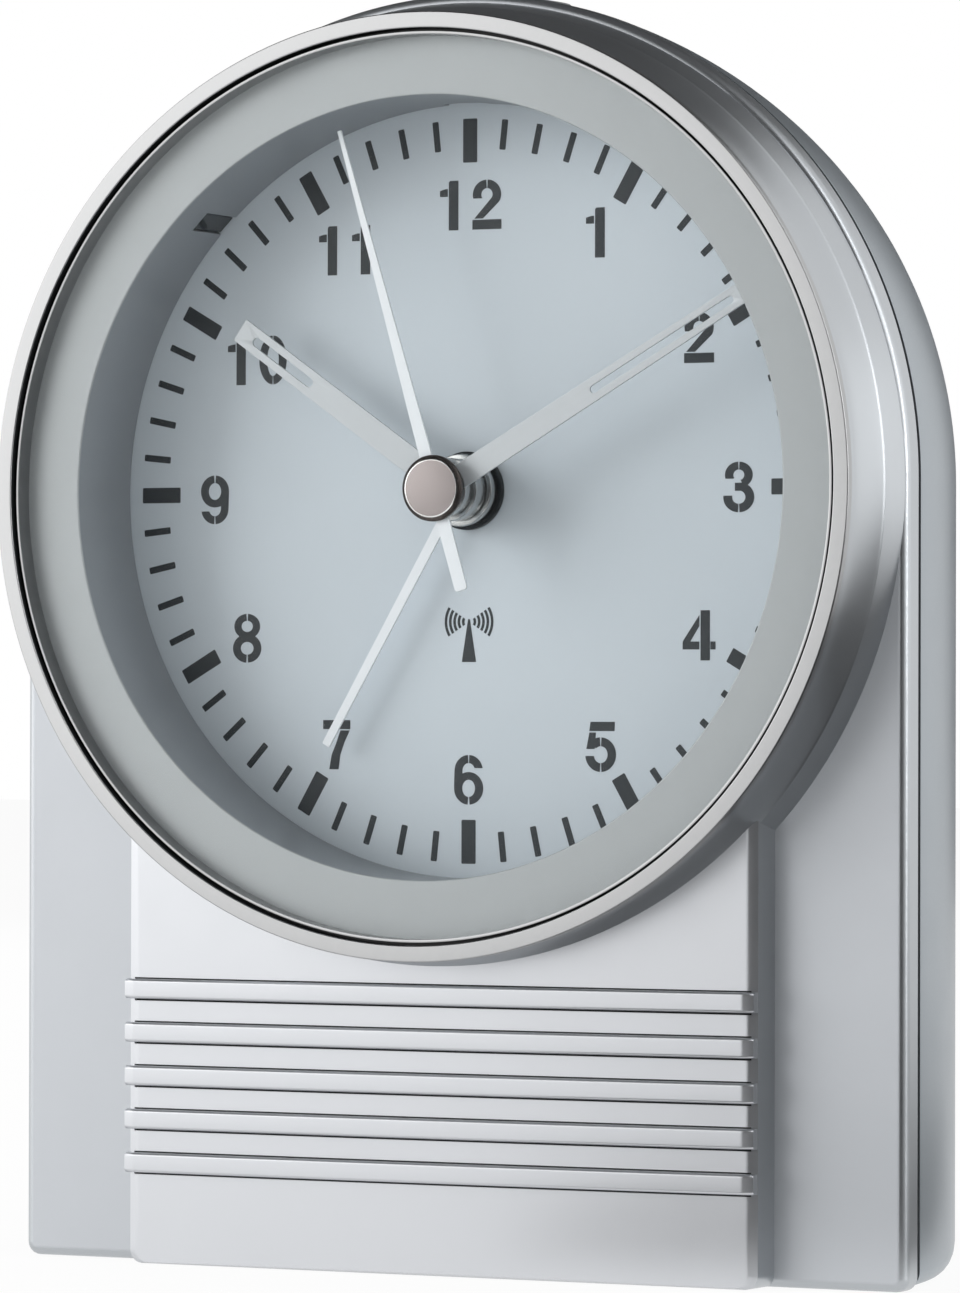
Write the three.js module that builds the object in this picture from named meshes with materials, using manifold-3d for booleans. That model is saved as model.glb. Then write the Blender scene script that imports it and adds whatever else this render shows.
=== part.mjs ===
// Radio-controlled analogue alarm clock: an assembly of separate closed pieces.
// Millimetres, +Z up, the front faces -Y, the origin lies on the floor under the middle of the case.
// A depth is always counted backwards from the front of the bezel.
import * as THREE from 'three';
import { mergeVertices } from 'three/addons/utils/BufferGeometryUtils.js';
import Module from 'manifold-3d';

const wasm = await Module();
wasm.setup();

// Case
const caseWidth = 93.2;
const archRise = 0.56;
const footProud = 0.4;
const wall = 2;
const frontCornerRadius = 1.3;
const cornerGrowth = 0.5;
const panelDepth = 9.3;
const panelEdge = 0.95;
const seamDepth = 12.5;
const seamGroove = 0.2;
const lipDepth = 1;
const lipRoot = 1;
const lipInset = 1.1;
const domeStart = 10;
const domeFlat = 0.56;
const backRim = 2.86;
const backEdge = 1;

// Drum, plateau and column of the front shell
const drumInset = 2.4;
const creaseInset = 1;
const plateauInset = 0.3;
const drumWall = 0.6;
const creaseDepth = 6.3;
const columnWidth = 65.2;
const columnDepth = 5.3;
const columnDraft = 0.5;
const columnEdge = 0.7;
const ribCount = 5;
const ribHeight = 1.9;
const ribPitch = 4.19;
const ribFirst = 9.84;
const ribProud = 1;
const ribEdge = 0.25;

// Bezel, window and dial surround
const bezelProud = 0.4;
const bezelWidth = 2.7;
const bezelRim = 1.5;
const bezelThickness = 1.9;
const bezelSpigot = 0.6;
const bezelEdge = 0.5;
const bezelBevel = 0.4;
const bezelLip = 0.7;
const bezelGroove = { width: 0.3, front: 0.6, floor: 1 };
const lensSeat = 0.6;
const lensThickness = 1;
const lensDepth = 1.4;
const flangeWidth = 4.9;
const flangeThickness = 1.2;
const surroundWall = 1.2;
const seatThickness = 1.6;
const dialDepth = 12.9;
const dialThickness = 0.8;
const dialOverlap = 1;
const carrierThickness = 1.2;
const carrierOverlap = 2.2;
const windowAngle = 45;
const sideWindow = { width: 2.1, length: 5.9 };
const topWindow = { width: 3.2, length: 7.7 };

// Hands: rise over what lies behind, angle shown in degrees from twelve, gap from tip to surround
const second = { rise: 1.4, angle: 343.4, tipGap: 1.3, tail: 10.1, width: 1.4, tip: 0.44, tailWidth: 1.3 };
const minute = {
  rise: 1.6, angle: 60.2, tipGap: 0.9, width: 2.4, tip: 2,
  slot: { width: 0.75, length: 16.8, fromTip: 1.3 },
};
const hour = {
  rise: 2.3, angle: 305, tipGap: 9.6, width: 2.5, tip: 2.4,
  slot: { width: 0.9, length: 7.8, fromTip: 1.8 },
};
const alarm = { rise: 1.4, angle: 210.3, tipGap: 8.8, width: 1.1, tip: 0.85 };
const collarRadius = { second: 2.45, minute: 2.65, hour: 3, alarm: 3.45 };
const bladeThickness = 0.25;
const capRadius = 3.15;
const capThickness = 0.65;
const capChamfer = 0.35;
const arborRadius = 0.5;
const tubeWall = 0.45;
const arborGap = 0.08;

// Movement
const movementWidth = 56;
const movementCorner = 6;
const plateThickness = 1.2;
const middlePlate = 0.8;
const cupWall = 1.2;
const bushRadius = 3;
const nutRadius = 3.75;
const nutHeight = 0.8;
const gearModule = 0.5;
const secondModule = 0.4;
const gearThickness = 1;
const backlash = 0.12;
const teeth = {
  minutePinion: 10,
  intermediateWheel: 30,
  intermediatePinion: 8,
  hourWheel: 32,
  rotorPinion: 8,
  secondWheel: 30,
  alarmWheel: 30,
  knobPinion: 10,
};
const rotorRadius = 3;
const rotorArbor = 0.4;
const rotorLength = 3;
const statorThickness = 0.8;
const coilSize = 6.4;
const coilLength = 11;
const coilRoom = 0.8;
const statorHalf = 7;
const statorRail = 1.5;
const statorRim = 2;
const statorBar = 2.2;
const minuteRotorAngle = -45;

// Rear of the case: control bay, knob, buttons, slide, board and what it carries
const bay = { halfWidth: 25, belowDial: 12.5, aboveDial: 13.5, depth: 3.6 };
const knobRadius = 7;
const knobHeight = 3;
const knobFlutes = 16;
const fluteDepth = 0.5;
const fluteShare = 0.45;
const gripWidth = 1.6;
const gripDepth = 0.5;
const knobShaftRadius = 1.5;
const buttonRadius = 2.3;
const buttonStem = 1.2;
const buttonFlange = { proud: 0.9, height: 0.6 };
const buttonChamfer = 0.4;
const buttonRecess = 0.9;
const firstButtonX = 4;
const buttonTravel = 0.5;
const buttonPitch = 7;
const buttonHeightBelowDial = 5.5;
const slideTravel = 4;
const slideSize = { width: 4, height: 3, depth: 2.4 };
const slideAboveDial = 6;
const keeperProud = 1;
const keeperRoom = 2;
const switchHeight = 3;
const switchHalf = 2.5;
const slideSwitchHalf = 5;
const boardHalf = 26;
const boardBelowDial = 16.5;
const boardAboveBay = 12;
const boardThickness = 1.6;
const buzzerSize = { radius: 5, height: 4.4, aboveBay: 6.5 };
const soundSlot = { count: 3, pitch: 3, width: 1.2, aboveBay: 5, height: 8 };
const antenna = {
  aboveTray: 7.9, fromBack: 0.2, radius: 3.8, halfLength: 26, coilRadius: 4.9, coilHalf: 10,
  saddleX: 19, saddleHalf: 1.5, saddleReach: 5,
};

// Battery bay
const cellRadius = 7.1;
const cellLength = 50.2;
const cellNub = 1;
const nubRadius = 2.75;
const cellEdge = 0.4;
const cellGap = 1;
const springRoom = 5.2;
const doorThickness = 1.8;
const doorLap = 1;
const fingerDip = { radius: 6, depth: 0.5, height: 5 };
const trayWall = 1.5;
const trayRoom = 3.4;
const contactThickness = 0.4;
const contactHalf = 5;
const springWire = 0.6;
const springRadius = 3.4;
const springTurns = 3;

// Snooze button and the board that hangs under it
const snooze = { halfWidth: 7.7, halfDepth: 4.5, depth: 19, proud: 1 };
const snoozeTravel = 0.8;
const flangeHeight = 1.2;
const flangeProud = 1.2;
const stemRadius = 2;
const stemLength = 1.5;
const snoozeSwitch = { size: 6, height: 3.5 };
const snoozeBoard = {
  halfWidth: 13.5, behind: 7, thickness: 1.2, pinX: 11, pinRadius: 0.8, pinLength: 2, hangerRadius: 1.6,
};

// Fasteners and feet
const screwRadius = 1.5;
const headRadius = 2.5;
const headHeight = 1.8;
const screwLength = 7;
const screwPoint = { radius: 0.9, length: 0.8 };
const headChamfer = 0.6;
const headBevel = 0.5;
const crossSlot = { width: 0.7, depth: 0.8, reach: 1.7 };
const bossRadius = 2.7;
const bossEnd = 16.8;
const upperScrewInset = 2.9;
const upperScrewAngle = 62;
const lowerScrewX = 25;
const lowerScrewZ = 5.8;
const footRadius = 4;
const footHeight = 1.2;
const frontFoot = { fromSide: 10.6, depth: 19 };
const rearFoot = { x: 27, fromBack: 7 };

// Clearances
const fit = 0.1;
const gap = 0.3;
const easy = 0.5;

// How far a cutting shape runs past what it cuts
const past = 1;

// Widths, from the case to the dial
const halfWidth = caseWidth / 2;
const drumRadius = halfWidth - drumInset;
const creaseRadius = halfWidth - creaseInset;
const plateauFootRadius = halfWidth - plateauInset;
const drumCavity = drumRadius - drumWall;
const bezelRadius = drumRadius + bezelProud;
const bezelInnerRadius = bezelRadius - bezelWidth;
const lensRadius = bezelInnerRadius + lensSeat;
const spigotInner = lensRadius + fit;
const spigotOuter = spigotInner + bezelSpigot;
const shellBore = spigotOuter + fit;
const surroundRadius = bezelInnerRadius - flangeWidth;
const surroundOuter = surroundRadius + surroundWall;
const seatRadius = surroundOuter + gap;
const dialRadius = surroundRadius + dialOverlap;

// Depths, from the bezel to the back of the case
const drumFront = bezelThickness + fit;
const flangeDepth = lensDepth + lensThickness + fit;
const seatDepth = flangeDepth + flangeThickness + fit;
const nutFront = dialDepth - fit - nutHeight;
alarm.depth = nutFront - alarm.rise;
hour.depth = alarm.depth - hour.rise;
minute.depth = hour.depth - minute.rise;
second.depth = minute.depth - second.rise;
const capDepth = second.depth - fit - capThickness;
const carrierDepth = dialDepth + dialThickness + fit;
const plateDepth = carrierDepth + carrierThickness + fit;
const gearFloor = plateDepth + plateThickness + gap;
const gearStep = gearThickness + 2 * gap;
const layer = {
  alarm: gearFloor,
  hour: gearFloor + gearStep,
  minute: gearFloor + 2 * gearStep,
  middle: gearFloor + 3 * gearStep - gap,
  second: gearFloor + 3 * gearStep + middlePlate,
};
const magnetDepth = layer.second + gearStep;
const statorDepth = magnetDepth + rotorLength / 2;
const movementBack = statorDepth + coilSize / 2 + coilRoom + cupWall;
const boardDepth = movementBack + gap;
const boardBack = boardDepth + boardThickness;
const switchTop = boardBack + switchHeight;
const bayInner = switchTop + keeperRoom;
const bayFloor = bayInner + wall;
const caseDepth = bayFloor + bay.depth;
const backInner = caseDepth - wall;
const doorDepth = caseDepth - doorThickness;
const cellDepth = doorDepth - gap - cellRadius;
const trayFloor = cellDepth - cellRadius - gap;
const antennaDepth = backInner - antenna.coilRadius - antenna.fromBack;
const headDepth = bossEnd + wall + fit;

// Heights, from the feet to the top of the case
const caseBottom = footProud;
const rearBossRadius = bossRadius + wall - easy;
const trayBottom = lowerScrewZ + rearBossRadius + fit + trayWall;
const cellPitch = 2 * cellRadius + cellGap;
const trayTop = trayBottom + cellPitch + 2 * cellRadius + 2 * gap;
const cellMiddle = (trayBottom + trayTop) / 2;
const doorBottom = trayBottom - doorLap;
const doorTop = trayTop + doorLap;
const antennaZ = trayTop + trayWall + antenna.aboveTray;
const dialHeight = trayTop + trayWall + trayRoom + movementWidth / 2;
const bayBottom = dialHeight - bay.belowDial;
const bayTop = dialHeight + bay.aboveDial;
const archHeight = dialHeight + archRise;
const caseTop = archHeight + halfWidth;

// Battery tray and door, round the cells
const contactFace = (cellLength + springRoom) / 2;
const trayHalf = contactFace + contactThickness + 2 * fit;
const doorWidth = 2 * (trayHalf + doorLap);

// The domed rear, a quarter ellipse that ends at the rim round the door
const domeDepth = caseDepth - domeStart + domeFlat;
const domeReach = 1 - Math.sqrt(1 - ((caseDepth - domeStart) / domeDepth) ** 2);
const domeInset = (halfWidth - doorWidth / 2 - backRim) / domeReach;

// Distances between the axes of the gear trains
const centreDistance = (gearModule * (teeth.minutePinion + teeth.intermediateWheel)) / 2;
const rotorDistance = (gearModule * (teeth.intermediateWheel + teeth.rotorPinion)) / 2;
const secondDistance = (secondModule * (teeth.secondWheel + teeth.rotorPinion)) / 2;
const knobDistance = (gearModule * (teeth.alarmWheel + teeth.knobPinion)) / 2;

// Steps round a full turn of the large, middle and small round pieces
const largeSteps = 44;
const middleSteps = 24;
const smallSteps = 14;
const finestSteps = 80;
const tinySteps = 10;
const archSteps = 24;
const cornerSteps = 3;
const ribCornerSteps = 2;
const flareSteps = 4;
const domeSteps = 7;
const domeInnerSteps = 4;

const yAt = (depth) => depth - caseDepth / 2;
const radians = THREE.MathUtils.degToRad;

// Closed shapes and the way they are joined and cut

function toManifold(geometry) {
  const bare = geometry.clone();
  bare.deleteAttribute('normal');
  bare.deleteAttribute('uv');
  const merged = mergeVertices(bare, 1e-5);
  const position = merged.getAttribute('position').array;
  const index = merged.index.array;
  const triangles = [];
  let volume = 0;
  const corner = [new THREE.Vector3(), new THREE.Vector3(), new THREE.Vector3()];
  for (let i = 0; i < index.length; i += 3) {
    const [a, b, c] = index.slice(i, i + 3);
    if (a === b || b === c || c === a) continue;
    triangles.push(a, b, c);
    [a, b, c].forEach((vertex, k) => corner[k].fromArray(position, 3 * vertex));
    volume += corner[0].dot(corner[1].cross(corner[2]));
  }
  if (volume < 0) triangles.reverse();
  return new wasm.Manifold(new wasm.Mesh({
    numProp: 3,
    vertProperties: new Float32Array(position),
    triVerts: new Uint32Array(triangles),
  }));
}

function toGeometry(manifold) {
  const mesh = manifold.getMesh();
  const geometry = new THREE.BufferGeometry();
  geometry.setAttribute('position', new THREE.BufferAttribute(mesh.vertProperties, 3));
  geometry.setIndex(new THREE.BufferAttribute(mesh.triVerts, 1));
  return geometry;
}

function join(first, ...others) {
  return toGeometry(others.reduce((body, other) => body.add(toManifold(other)), toManifold(first)));
}

function cut(first, ...tools) {
  return toGeometry(tools.reduce((body, tool) => body.subtract(toManifold(tool)), toManifold(first)));
}

function common(first, second) {
  return toGeometry(toManifold(first).intersect(toManifold(second)));
}

// A turned shape about the dial axis, from [radius, depth] points
function lathe(profile, segments = largeSteps) {
  const points = profile.map(([radius, depth]) => new THREE.Vector2(radius, yAt(depth)));
  if (profile[0][0] > 0) points.push(points[0].clone());
  return new THREE.LatheGeometry(points, segments);
}

function disc(radius, front, back, segments = largeSteps) {
  return lathe([[0, front], [radius, front], [radius, back], [0, back]], segments);
}

function tube(inner, outer, front, back, segments = largeSteps) {
  return lathe([[inner, front], [outer, front], [outer, back], [inner, back]], segments);
}

function rod(x, z, radius, front, back, segments = smallSteps) {
  return disc(radius, front, back, segments).translate(x, 0, z);
}

function box(left, right, front, back, bottom, top) {
  const geometry = new THREE.BoxGeometry(right - left, back - front, top - bottom);
  return geometry.translate((left + right) / 2, yAt((front + back) / 2), (bottom + top) / 2);
}

// A flat shape drawn in x and z, as thick as its two depths say
function plate(shape, front, back, curveSegments = 8) {
  const options = { depth: back - front, bevelEnabled: false, curveSegments };
  const geometry = new THREE.ExtrudeGeometry(shape, options);
  return geometry.rotateX(Math.PI / 2).translate(0, yAt(back), 0);
}

// An upright round bar of stretched section
function upright(x, depth, halfX, halfY, bottom, top, segments = middleSteps) {
  const geometry = new THREE.CylinderGeometry(1, 1, top - bottom, segments);
  return geometry.rotateX(Math.PI / 2).scale(halfX, halfY, 1)
    .translate(x, yAt(depth), (bottom + top) / 2);
}

function round(x, depth, radius, bottom, top, segments = smallSteps) {
  return upright(x, depth, radius, radius, bottom, top, segments);
}

// A round bar along X
function crossBar(x0, x1, depth, z, radius, segments = smallSteps) {
  const geometry = new THREE.CylinderGeometry(radius, radius, x1 - x0, segments);
  return geometry.rotateZ(Math.PI / 2).translate((x0 + x1) / 2, yAt(depth), z);
}

// A solid through outlines with the same number of points, each at its depth
function loft(sections) {
  const count = sections[0].outline.length;
  const positions = [];
  const index = [];
  for (const { outline, depth } of sections) {
    for (const point of outline) positions.push(point.x, yAt(depth), point.y);
  }
  for (let s = 0; s < sections.length - 1; s += 1) {
    for (let i = 0; i < count; i += 1) {
      const a = s * count + i;
      const b = s * count + ((i + 1) % count);
      index.push(a, b, b + count, a, b + count, a + count);
    }
  }
  const last = (sections.length - 1) * count;
  for (const [a, b, c] of THREE.ShapeUtils.triangulateShape(sections[0].outline, [])) {
    index.push(a, c, b);
  }
  for (const [a, b, c] of THREE.ShapeUtils.triangulateShape(sections.at(-1).outline, [])) {
    index.push(last + a, last + b, last + c);
  }
  const geometry = new THREE.BufferGeometry();
  geometry.setAttribute('position', new THREE.Float32BufferAttribute(positions, 3));
  geometry.setIndex(index);
  return geometry;
}

function arc(points, x, z, radius, from, to, steps) {
  for (let i = 0; i <= steps; i += 1) {
    const angle = radians(from + ((to - from) * i) / steps);
    points.push(new THREE.Vector2(x + radius * Math.cos(angle), z + radius * Math.sin(angle)));
  }
}

// The case outline: round top, straight sides, flat bottom with rounded corners
function archOutline(inset, cornerRadius, bottom = caseBottom) {
  const points = [];
  const half = halfWidth - inset;
  arc(points, half - cornerRadius, bottom + cornerRadius, cornerRadius, -90, 0, cornerSteps);
  arc(points, 0, archHeight, half, 0, 180, archSteps);
  arc(points, cornerRadius - half, bottom + cornerRadius, cornerRadius, 180, 270, cornerSteps);
  return points;
}

function rectOutline(half, bottom, top, cornerRadius) {
  const points = [];
  arc(points, half - cornerRadius, bottom + cornerRadius, cornerRadius, -90, 0, ribCornerSteps);
  arc(points, half - cornerRadius, top - cornerRadius, cornerRadius, 0, 90, ribCornerSteps);
  arc(points, cornerRadius - half, top - cornerRadius, cornerRadius, 90, 180, ribCornerSteps);
  arc(points, cornerRadius - half, bottom + cornerRadius, cornerRadius, 180, 270, ribCornerSteps);
  return points;
}

// How far the domed rear has drawn in at a depth, for the outer face or one a thickness inside
function domeAt(depth, thickness = 0) {
  const reach = Math.max(depth - domeStart, 0) / (domeDepth - thickness);
  const drawn = (domeInset - thickness) * (1 - Math.sqrt(Math.max(1 - reach * reach, 0)));
  return thickness + drawn;
}

function roundedEdge(start, radius, steps = 3) {
  const edge = [];
  for (let i = 0; i <= steps; i += 1) {
    const angle = radians((90 * i) / steps);
    edge.push({ depth: start + radius * (1 - Math.cos(angle)), inset: radius * (1 - Math.sin(angle)) });
  }
  return edge;
}

// A gear outline with straight-sided teeth as thick at the tip as an involute tooth
function gearShape(count, module, bore) {
  const pitchRadius = (module * count) / 2;
  const pressure = radians(20);
  const baseRadius = pitchRadius * Math.cos(pressure);
  const rootRadius = pitchRadius - 1.2 * module;
  const tipRadius = pitchRadius + 0.85 * module;
  const involute = (angle) => Math.tan(angle) - angle;
  const halfAt = (radius) => {
    const half = Math.PI / (2 * count) - backlash / (2 * pitchRadius);
    return half + involute(pressure) - involute(Math.acos(Math.min(baseRadius / radius, 1)));
  };
  const flank = [[rootRadius, halfAt(pitchRadius) * 1.1], [tipRadius, halfAt(tipRadius)]];
  const shape = new THREE.Shape();
  const points = [];
  for (let tooth = 0; tooth < count; tooth += 1) {
    const middle = (2 * Math.PI * tooth) / count;
    for (const [radius, half] of flank) points.push([radius, middle - half]);
    for (const [radius, half] of [...flank].reverse()) points.push([radius, middle + half]);
  }
  shape.setFromPoints(points.map(([radius, angle]) => (
    new THREE.Vector2(radius * Math.sin(angle), radius * Math.cos(angle)))));
  if (bore > 0) shape.holes.push(new THREE.Path().absarc(0, 0, bore, 0, 2 * Math.PI));
  return shape;
}

function gear(count, module, bore, front, thickness = gearThickness) {
  return plate(gearShape(count, module, bore), front, front + thickness, 6);
}

// Materials, with the colours of the photograph

function finish(color, roughness, metalness) {
  return new THREE.MeshStandardMaterial({ color, roughness, metalness });
}

const silverPaint = finish('#c6c9cb', 0.38, 0.55);
const rearPaint = finish('#b2b6b8', 0.4, 0.5);
const plated = finish('#d5d8da', 0.16, 0.95);
const surroundPaint = finish('#a6abae', 0.5, 0.35);
const dialPaint = finish('#b6c0c8', 0.6, 0.1);
const handPaint = finish('#b6babc', 0.5, 0.3);
const brightHand = finish('#e2e7ea', 0.5, 0.1);
const capMetal = finish('#aca6a3', 0.35, 0.8);
const darkMetal = finish('#30363a', 0.4, 0.6);
const clearPlastic = finish('#eef4f6', 0.05, 0);
const buttonPaint = finish('#bfc3c5', 0.4, 0.5);
const blackPlastic = finish('#232628', 0.55, 0);
const whitePlastic = finish('#e6e6e0', 0.5, 0);
const rubber = finish('#2b2b2c', 0.85, 0);
const zinc = finish('#c3c6c4', 0.3, 0.9);
const brass = finish('#c9a85a', 0.3, 0.9);
const copper = finish('#b06a3c', 0.4, 0.8);
const ferrite = finish('#3a3a3c', 0.6, 0.2);
const boardGreen = finish('#1f6b3f', 0.5, 0);
const cellSleeve = finish('#2f6f9e', 0.4, 0.2);
const guidePlastic = finish('#dfe9ee', 0.15, 0);

const clock = new THREE.Group();
const dialGroup = new THREE.Group();
dialGroup.position.z = dialHeight;
clock.add(dialGroup);

function piece(parent, name, geometry, material) {
  const mesh = new THREE.Mesh(toGeometry(toManifold(geometry)), material);
  mesh.name = name;
  parent.add(mesh);
  return mesh;
}

// Screw places, shared by both shells and the screws
const upperAngle = radians(upperScrewAngle);
const upperScrewReach = drumRadius - upperScrewInset;
const screwPlaces = [-1, 1].flatMap((side) => [
  [side * upperScrewReach * Math.sin(upperAngle), dialHeight + upperScrewReach * Math.cos(upperAngle)],
  [side * lowerScrewX, lowerScrewZ],
]);

// Front shell: panels, plateau with drum and column, ribs, seat for the surround, screw posts
function frontShell() {
  const edge = roundedEdge(panelDepth, panelEdge);
  const panels = loft([
    ...edge.map(({ depth, inset }) => ({ depth, outline: archOutline(inset, frontCornerRadius) })),
    { depth: seamDepth - seamGroove, outline: archOutline(0, frontCornerRadius) },
    { depth: seamDepth, outline: archOutline(seamGroove, frontCornerRadius) },
  ]);
  const lip = loft([seamDepth - lipRoot, seamDepth + lipDepth].map((depth) => (
    { depth, outline: archOutline(lipInset, frontCornerRadius, caseBottom + lipInset) })));
  const flare = [];
  for (let i = 0; i <= flareSteps; i += 1) {
    const reach = i / flareSteps;
    const radius = drumRadius + (creaseRadius - drumRadius) * reach * reach;
    flare.push([radius, drumFront + (creaseDepth - drumFront) * reach]);
  }
  const back = panelDepth + panelEdge;
  const drum = lathe([[0, drumFront], ...flare, [plateauFootRadius, panelDepth],
    [plateauFootRadius, back], [0, back]]).translate(0, 0, dialHeight);
  const columnTop = dialHeight - drumRadius / 2;
  const column = loft([
    ...roundedEdge(columnDepth, columnEdge).map(({ depth, inset }) => ({
      depth,
      outline: rectOutline(columnWidth / 2 - inset, caseBottom + inset, columnTop, columnEdge),
    })),
    { depth: back, outline: rectOutline(columnWidth / 2 + columnDraft, caseBottom, columnTop, columnEdge) },
  ]);
  const ribs = [];
  for (let i = 0; i < ribCount; i += 1) {
    const middle = ribFirst + i * ribPitch;
    const section = (inset) => rectOutline(
      columnWidth / 2 - fit - inset, middle - ribHeight / 2 + inset, middle + ribHeight / 2 - inset, ribEdge);
    ribs.push(loft([
      { depth: columnDepth - ribProud, outline: section(ribEdge) },
      { depth: columnDepth - ribProud + ribEdge, outline: section(0) },
      { depth: columnDepth + columnEdge, outline: section(0) },
    ]));
  }
  const cavity = loft([panelDepth + wall, seamDepth + lipDepth + past].map((depth) => (
    { depth, outline: archOutline(wall, frontCornerRadius, caseBottom + wall) })));
  const columnCavity = box(wall - columnWidth / 2, columnWidth / 2 - wall, columnDepth + wall,
    panelDepth + wall + past, caseBottom + wall, columnTop);
  const bore = disc(shellBore, 0, seatDepth).translate(0, 0, dialHeight);
  const seat = disc(seatRadius, seatDepth - past, seatDepth + seatThickness + past)
    .translate(0, 0, dialHeight);
  const behind = disc(drumCavity, seatDepth + seatThickness, seamDepth + lipDepth + past)
    .translate(0, 0, dialHeight);
  const hollow = cut(join(panels, lip, drum, column, ...ribs), cavity, columnCavity, bore, seat, behind);
  const posts = screwPlaces.map(([x, z]) => {
    const start = z > dialHeight ? seatDepth + seatThickness - easy : columnDepth + wall - easy;
    return rod(x, z, bossRadius, start, bossEnd);
  });
  const pilots = screwPlaces.map(([x, z]) => (
    rod(x, z, screwRadius + fit, headDepth - screwLength - gap, bossEnd + past)));
  return cut(join(hollow, ...posts), ...pilots);
}

// Rear shell: domed back, battery tray, control bay, screw bosses, carriers for what it holds
function rearOutline(depth, thickness, bottom) {
  const inset = domeAt(depth, thickness);
  return archOutline(inset, frontCornerRadius + cornerGrowth * domeAt(depth), bottom);
}

function domeDepths(last, steps) {
  const depths = [];
  const end = Math.asin((last - domeStart) / domeDepth);
  const start = Math.asin((seamDepth + seamGroove - domeStart) / domeDepth);
  for (let i = 0; i <= steps; i += 1) {
    depths.push(domeStart + domeDepth * Math.sin(start + ((end - start) * i) / steps));
  }
  return depths;
}

function rearOuter() {
  const sections = [{
    depth: seamDepth,
    outline: archOutline(seamGroove, frontCornerRadius),
  }];
  for (const depth of domeDepths(caseDepth, domeSteps)) {
    const fromBack = Math.min(caseDepth - depth, backEdge);
    const lift = backEdge - Math.sqrt(backEdge ** 2 - (backEdge - fromBack) ** 2);
    sections.push({ depth, outline: rearOutline(depth, 0, caseBottom + lift) });
  }
  return loft(sections);
}

function rearInner() {
  const sections = domeDepths(backInner, domeInnerSteps).map((depth) => (
    { depth, outline: rearOutline(depth, wall, caseBottom + wall) }));
  sections[0].depth = seamDepth - past;
  return loft(sections);
}

const buttonX = [0, 1, 2].map((i) => firstButtonX + i * buttonPitch);
const buttonZ = dialHeight - buttonHeightBelowDial;
const slideX = buttonX[1];
const slideZ = dialHeight + slideAboveDial;
const knobX = -knobDistance;
const footPlaces = [-1, 1].flatMap((side) => [
  [side * (halfWidth - frontFoot.fromSide), frontFoot.depth],
  [side * rearFoot.x, caseDepth - rearFoot.fromBack],
]);
const archAtSnooze = halfWidth - domeAt(snooze.depth);
const snoozeTop = archAtSnooze + snooze.proud;
const flangeHalf = snooze.halfWidth + flangeProud;
const flangeTop = archHeight - gap + Math.sqrt((archAtSnooze - wall) ** 2 - (flangeHalf + fit) ** 2);
const stemBottom = flangeTop - flangeHeight - stemLength;
const snoozeSwitchTop = stemBottom - snoozeTravel - fit;
const snoozeBoardTop = snoozeSwitchTop - snoozeSwitch.height;

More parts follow.
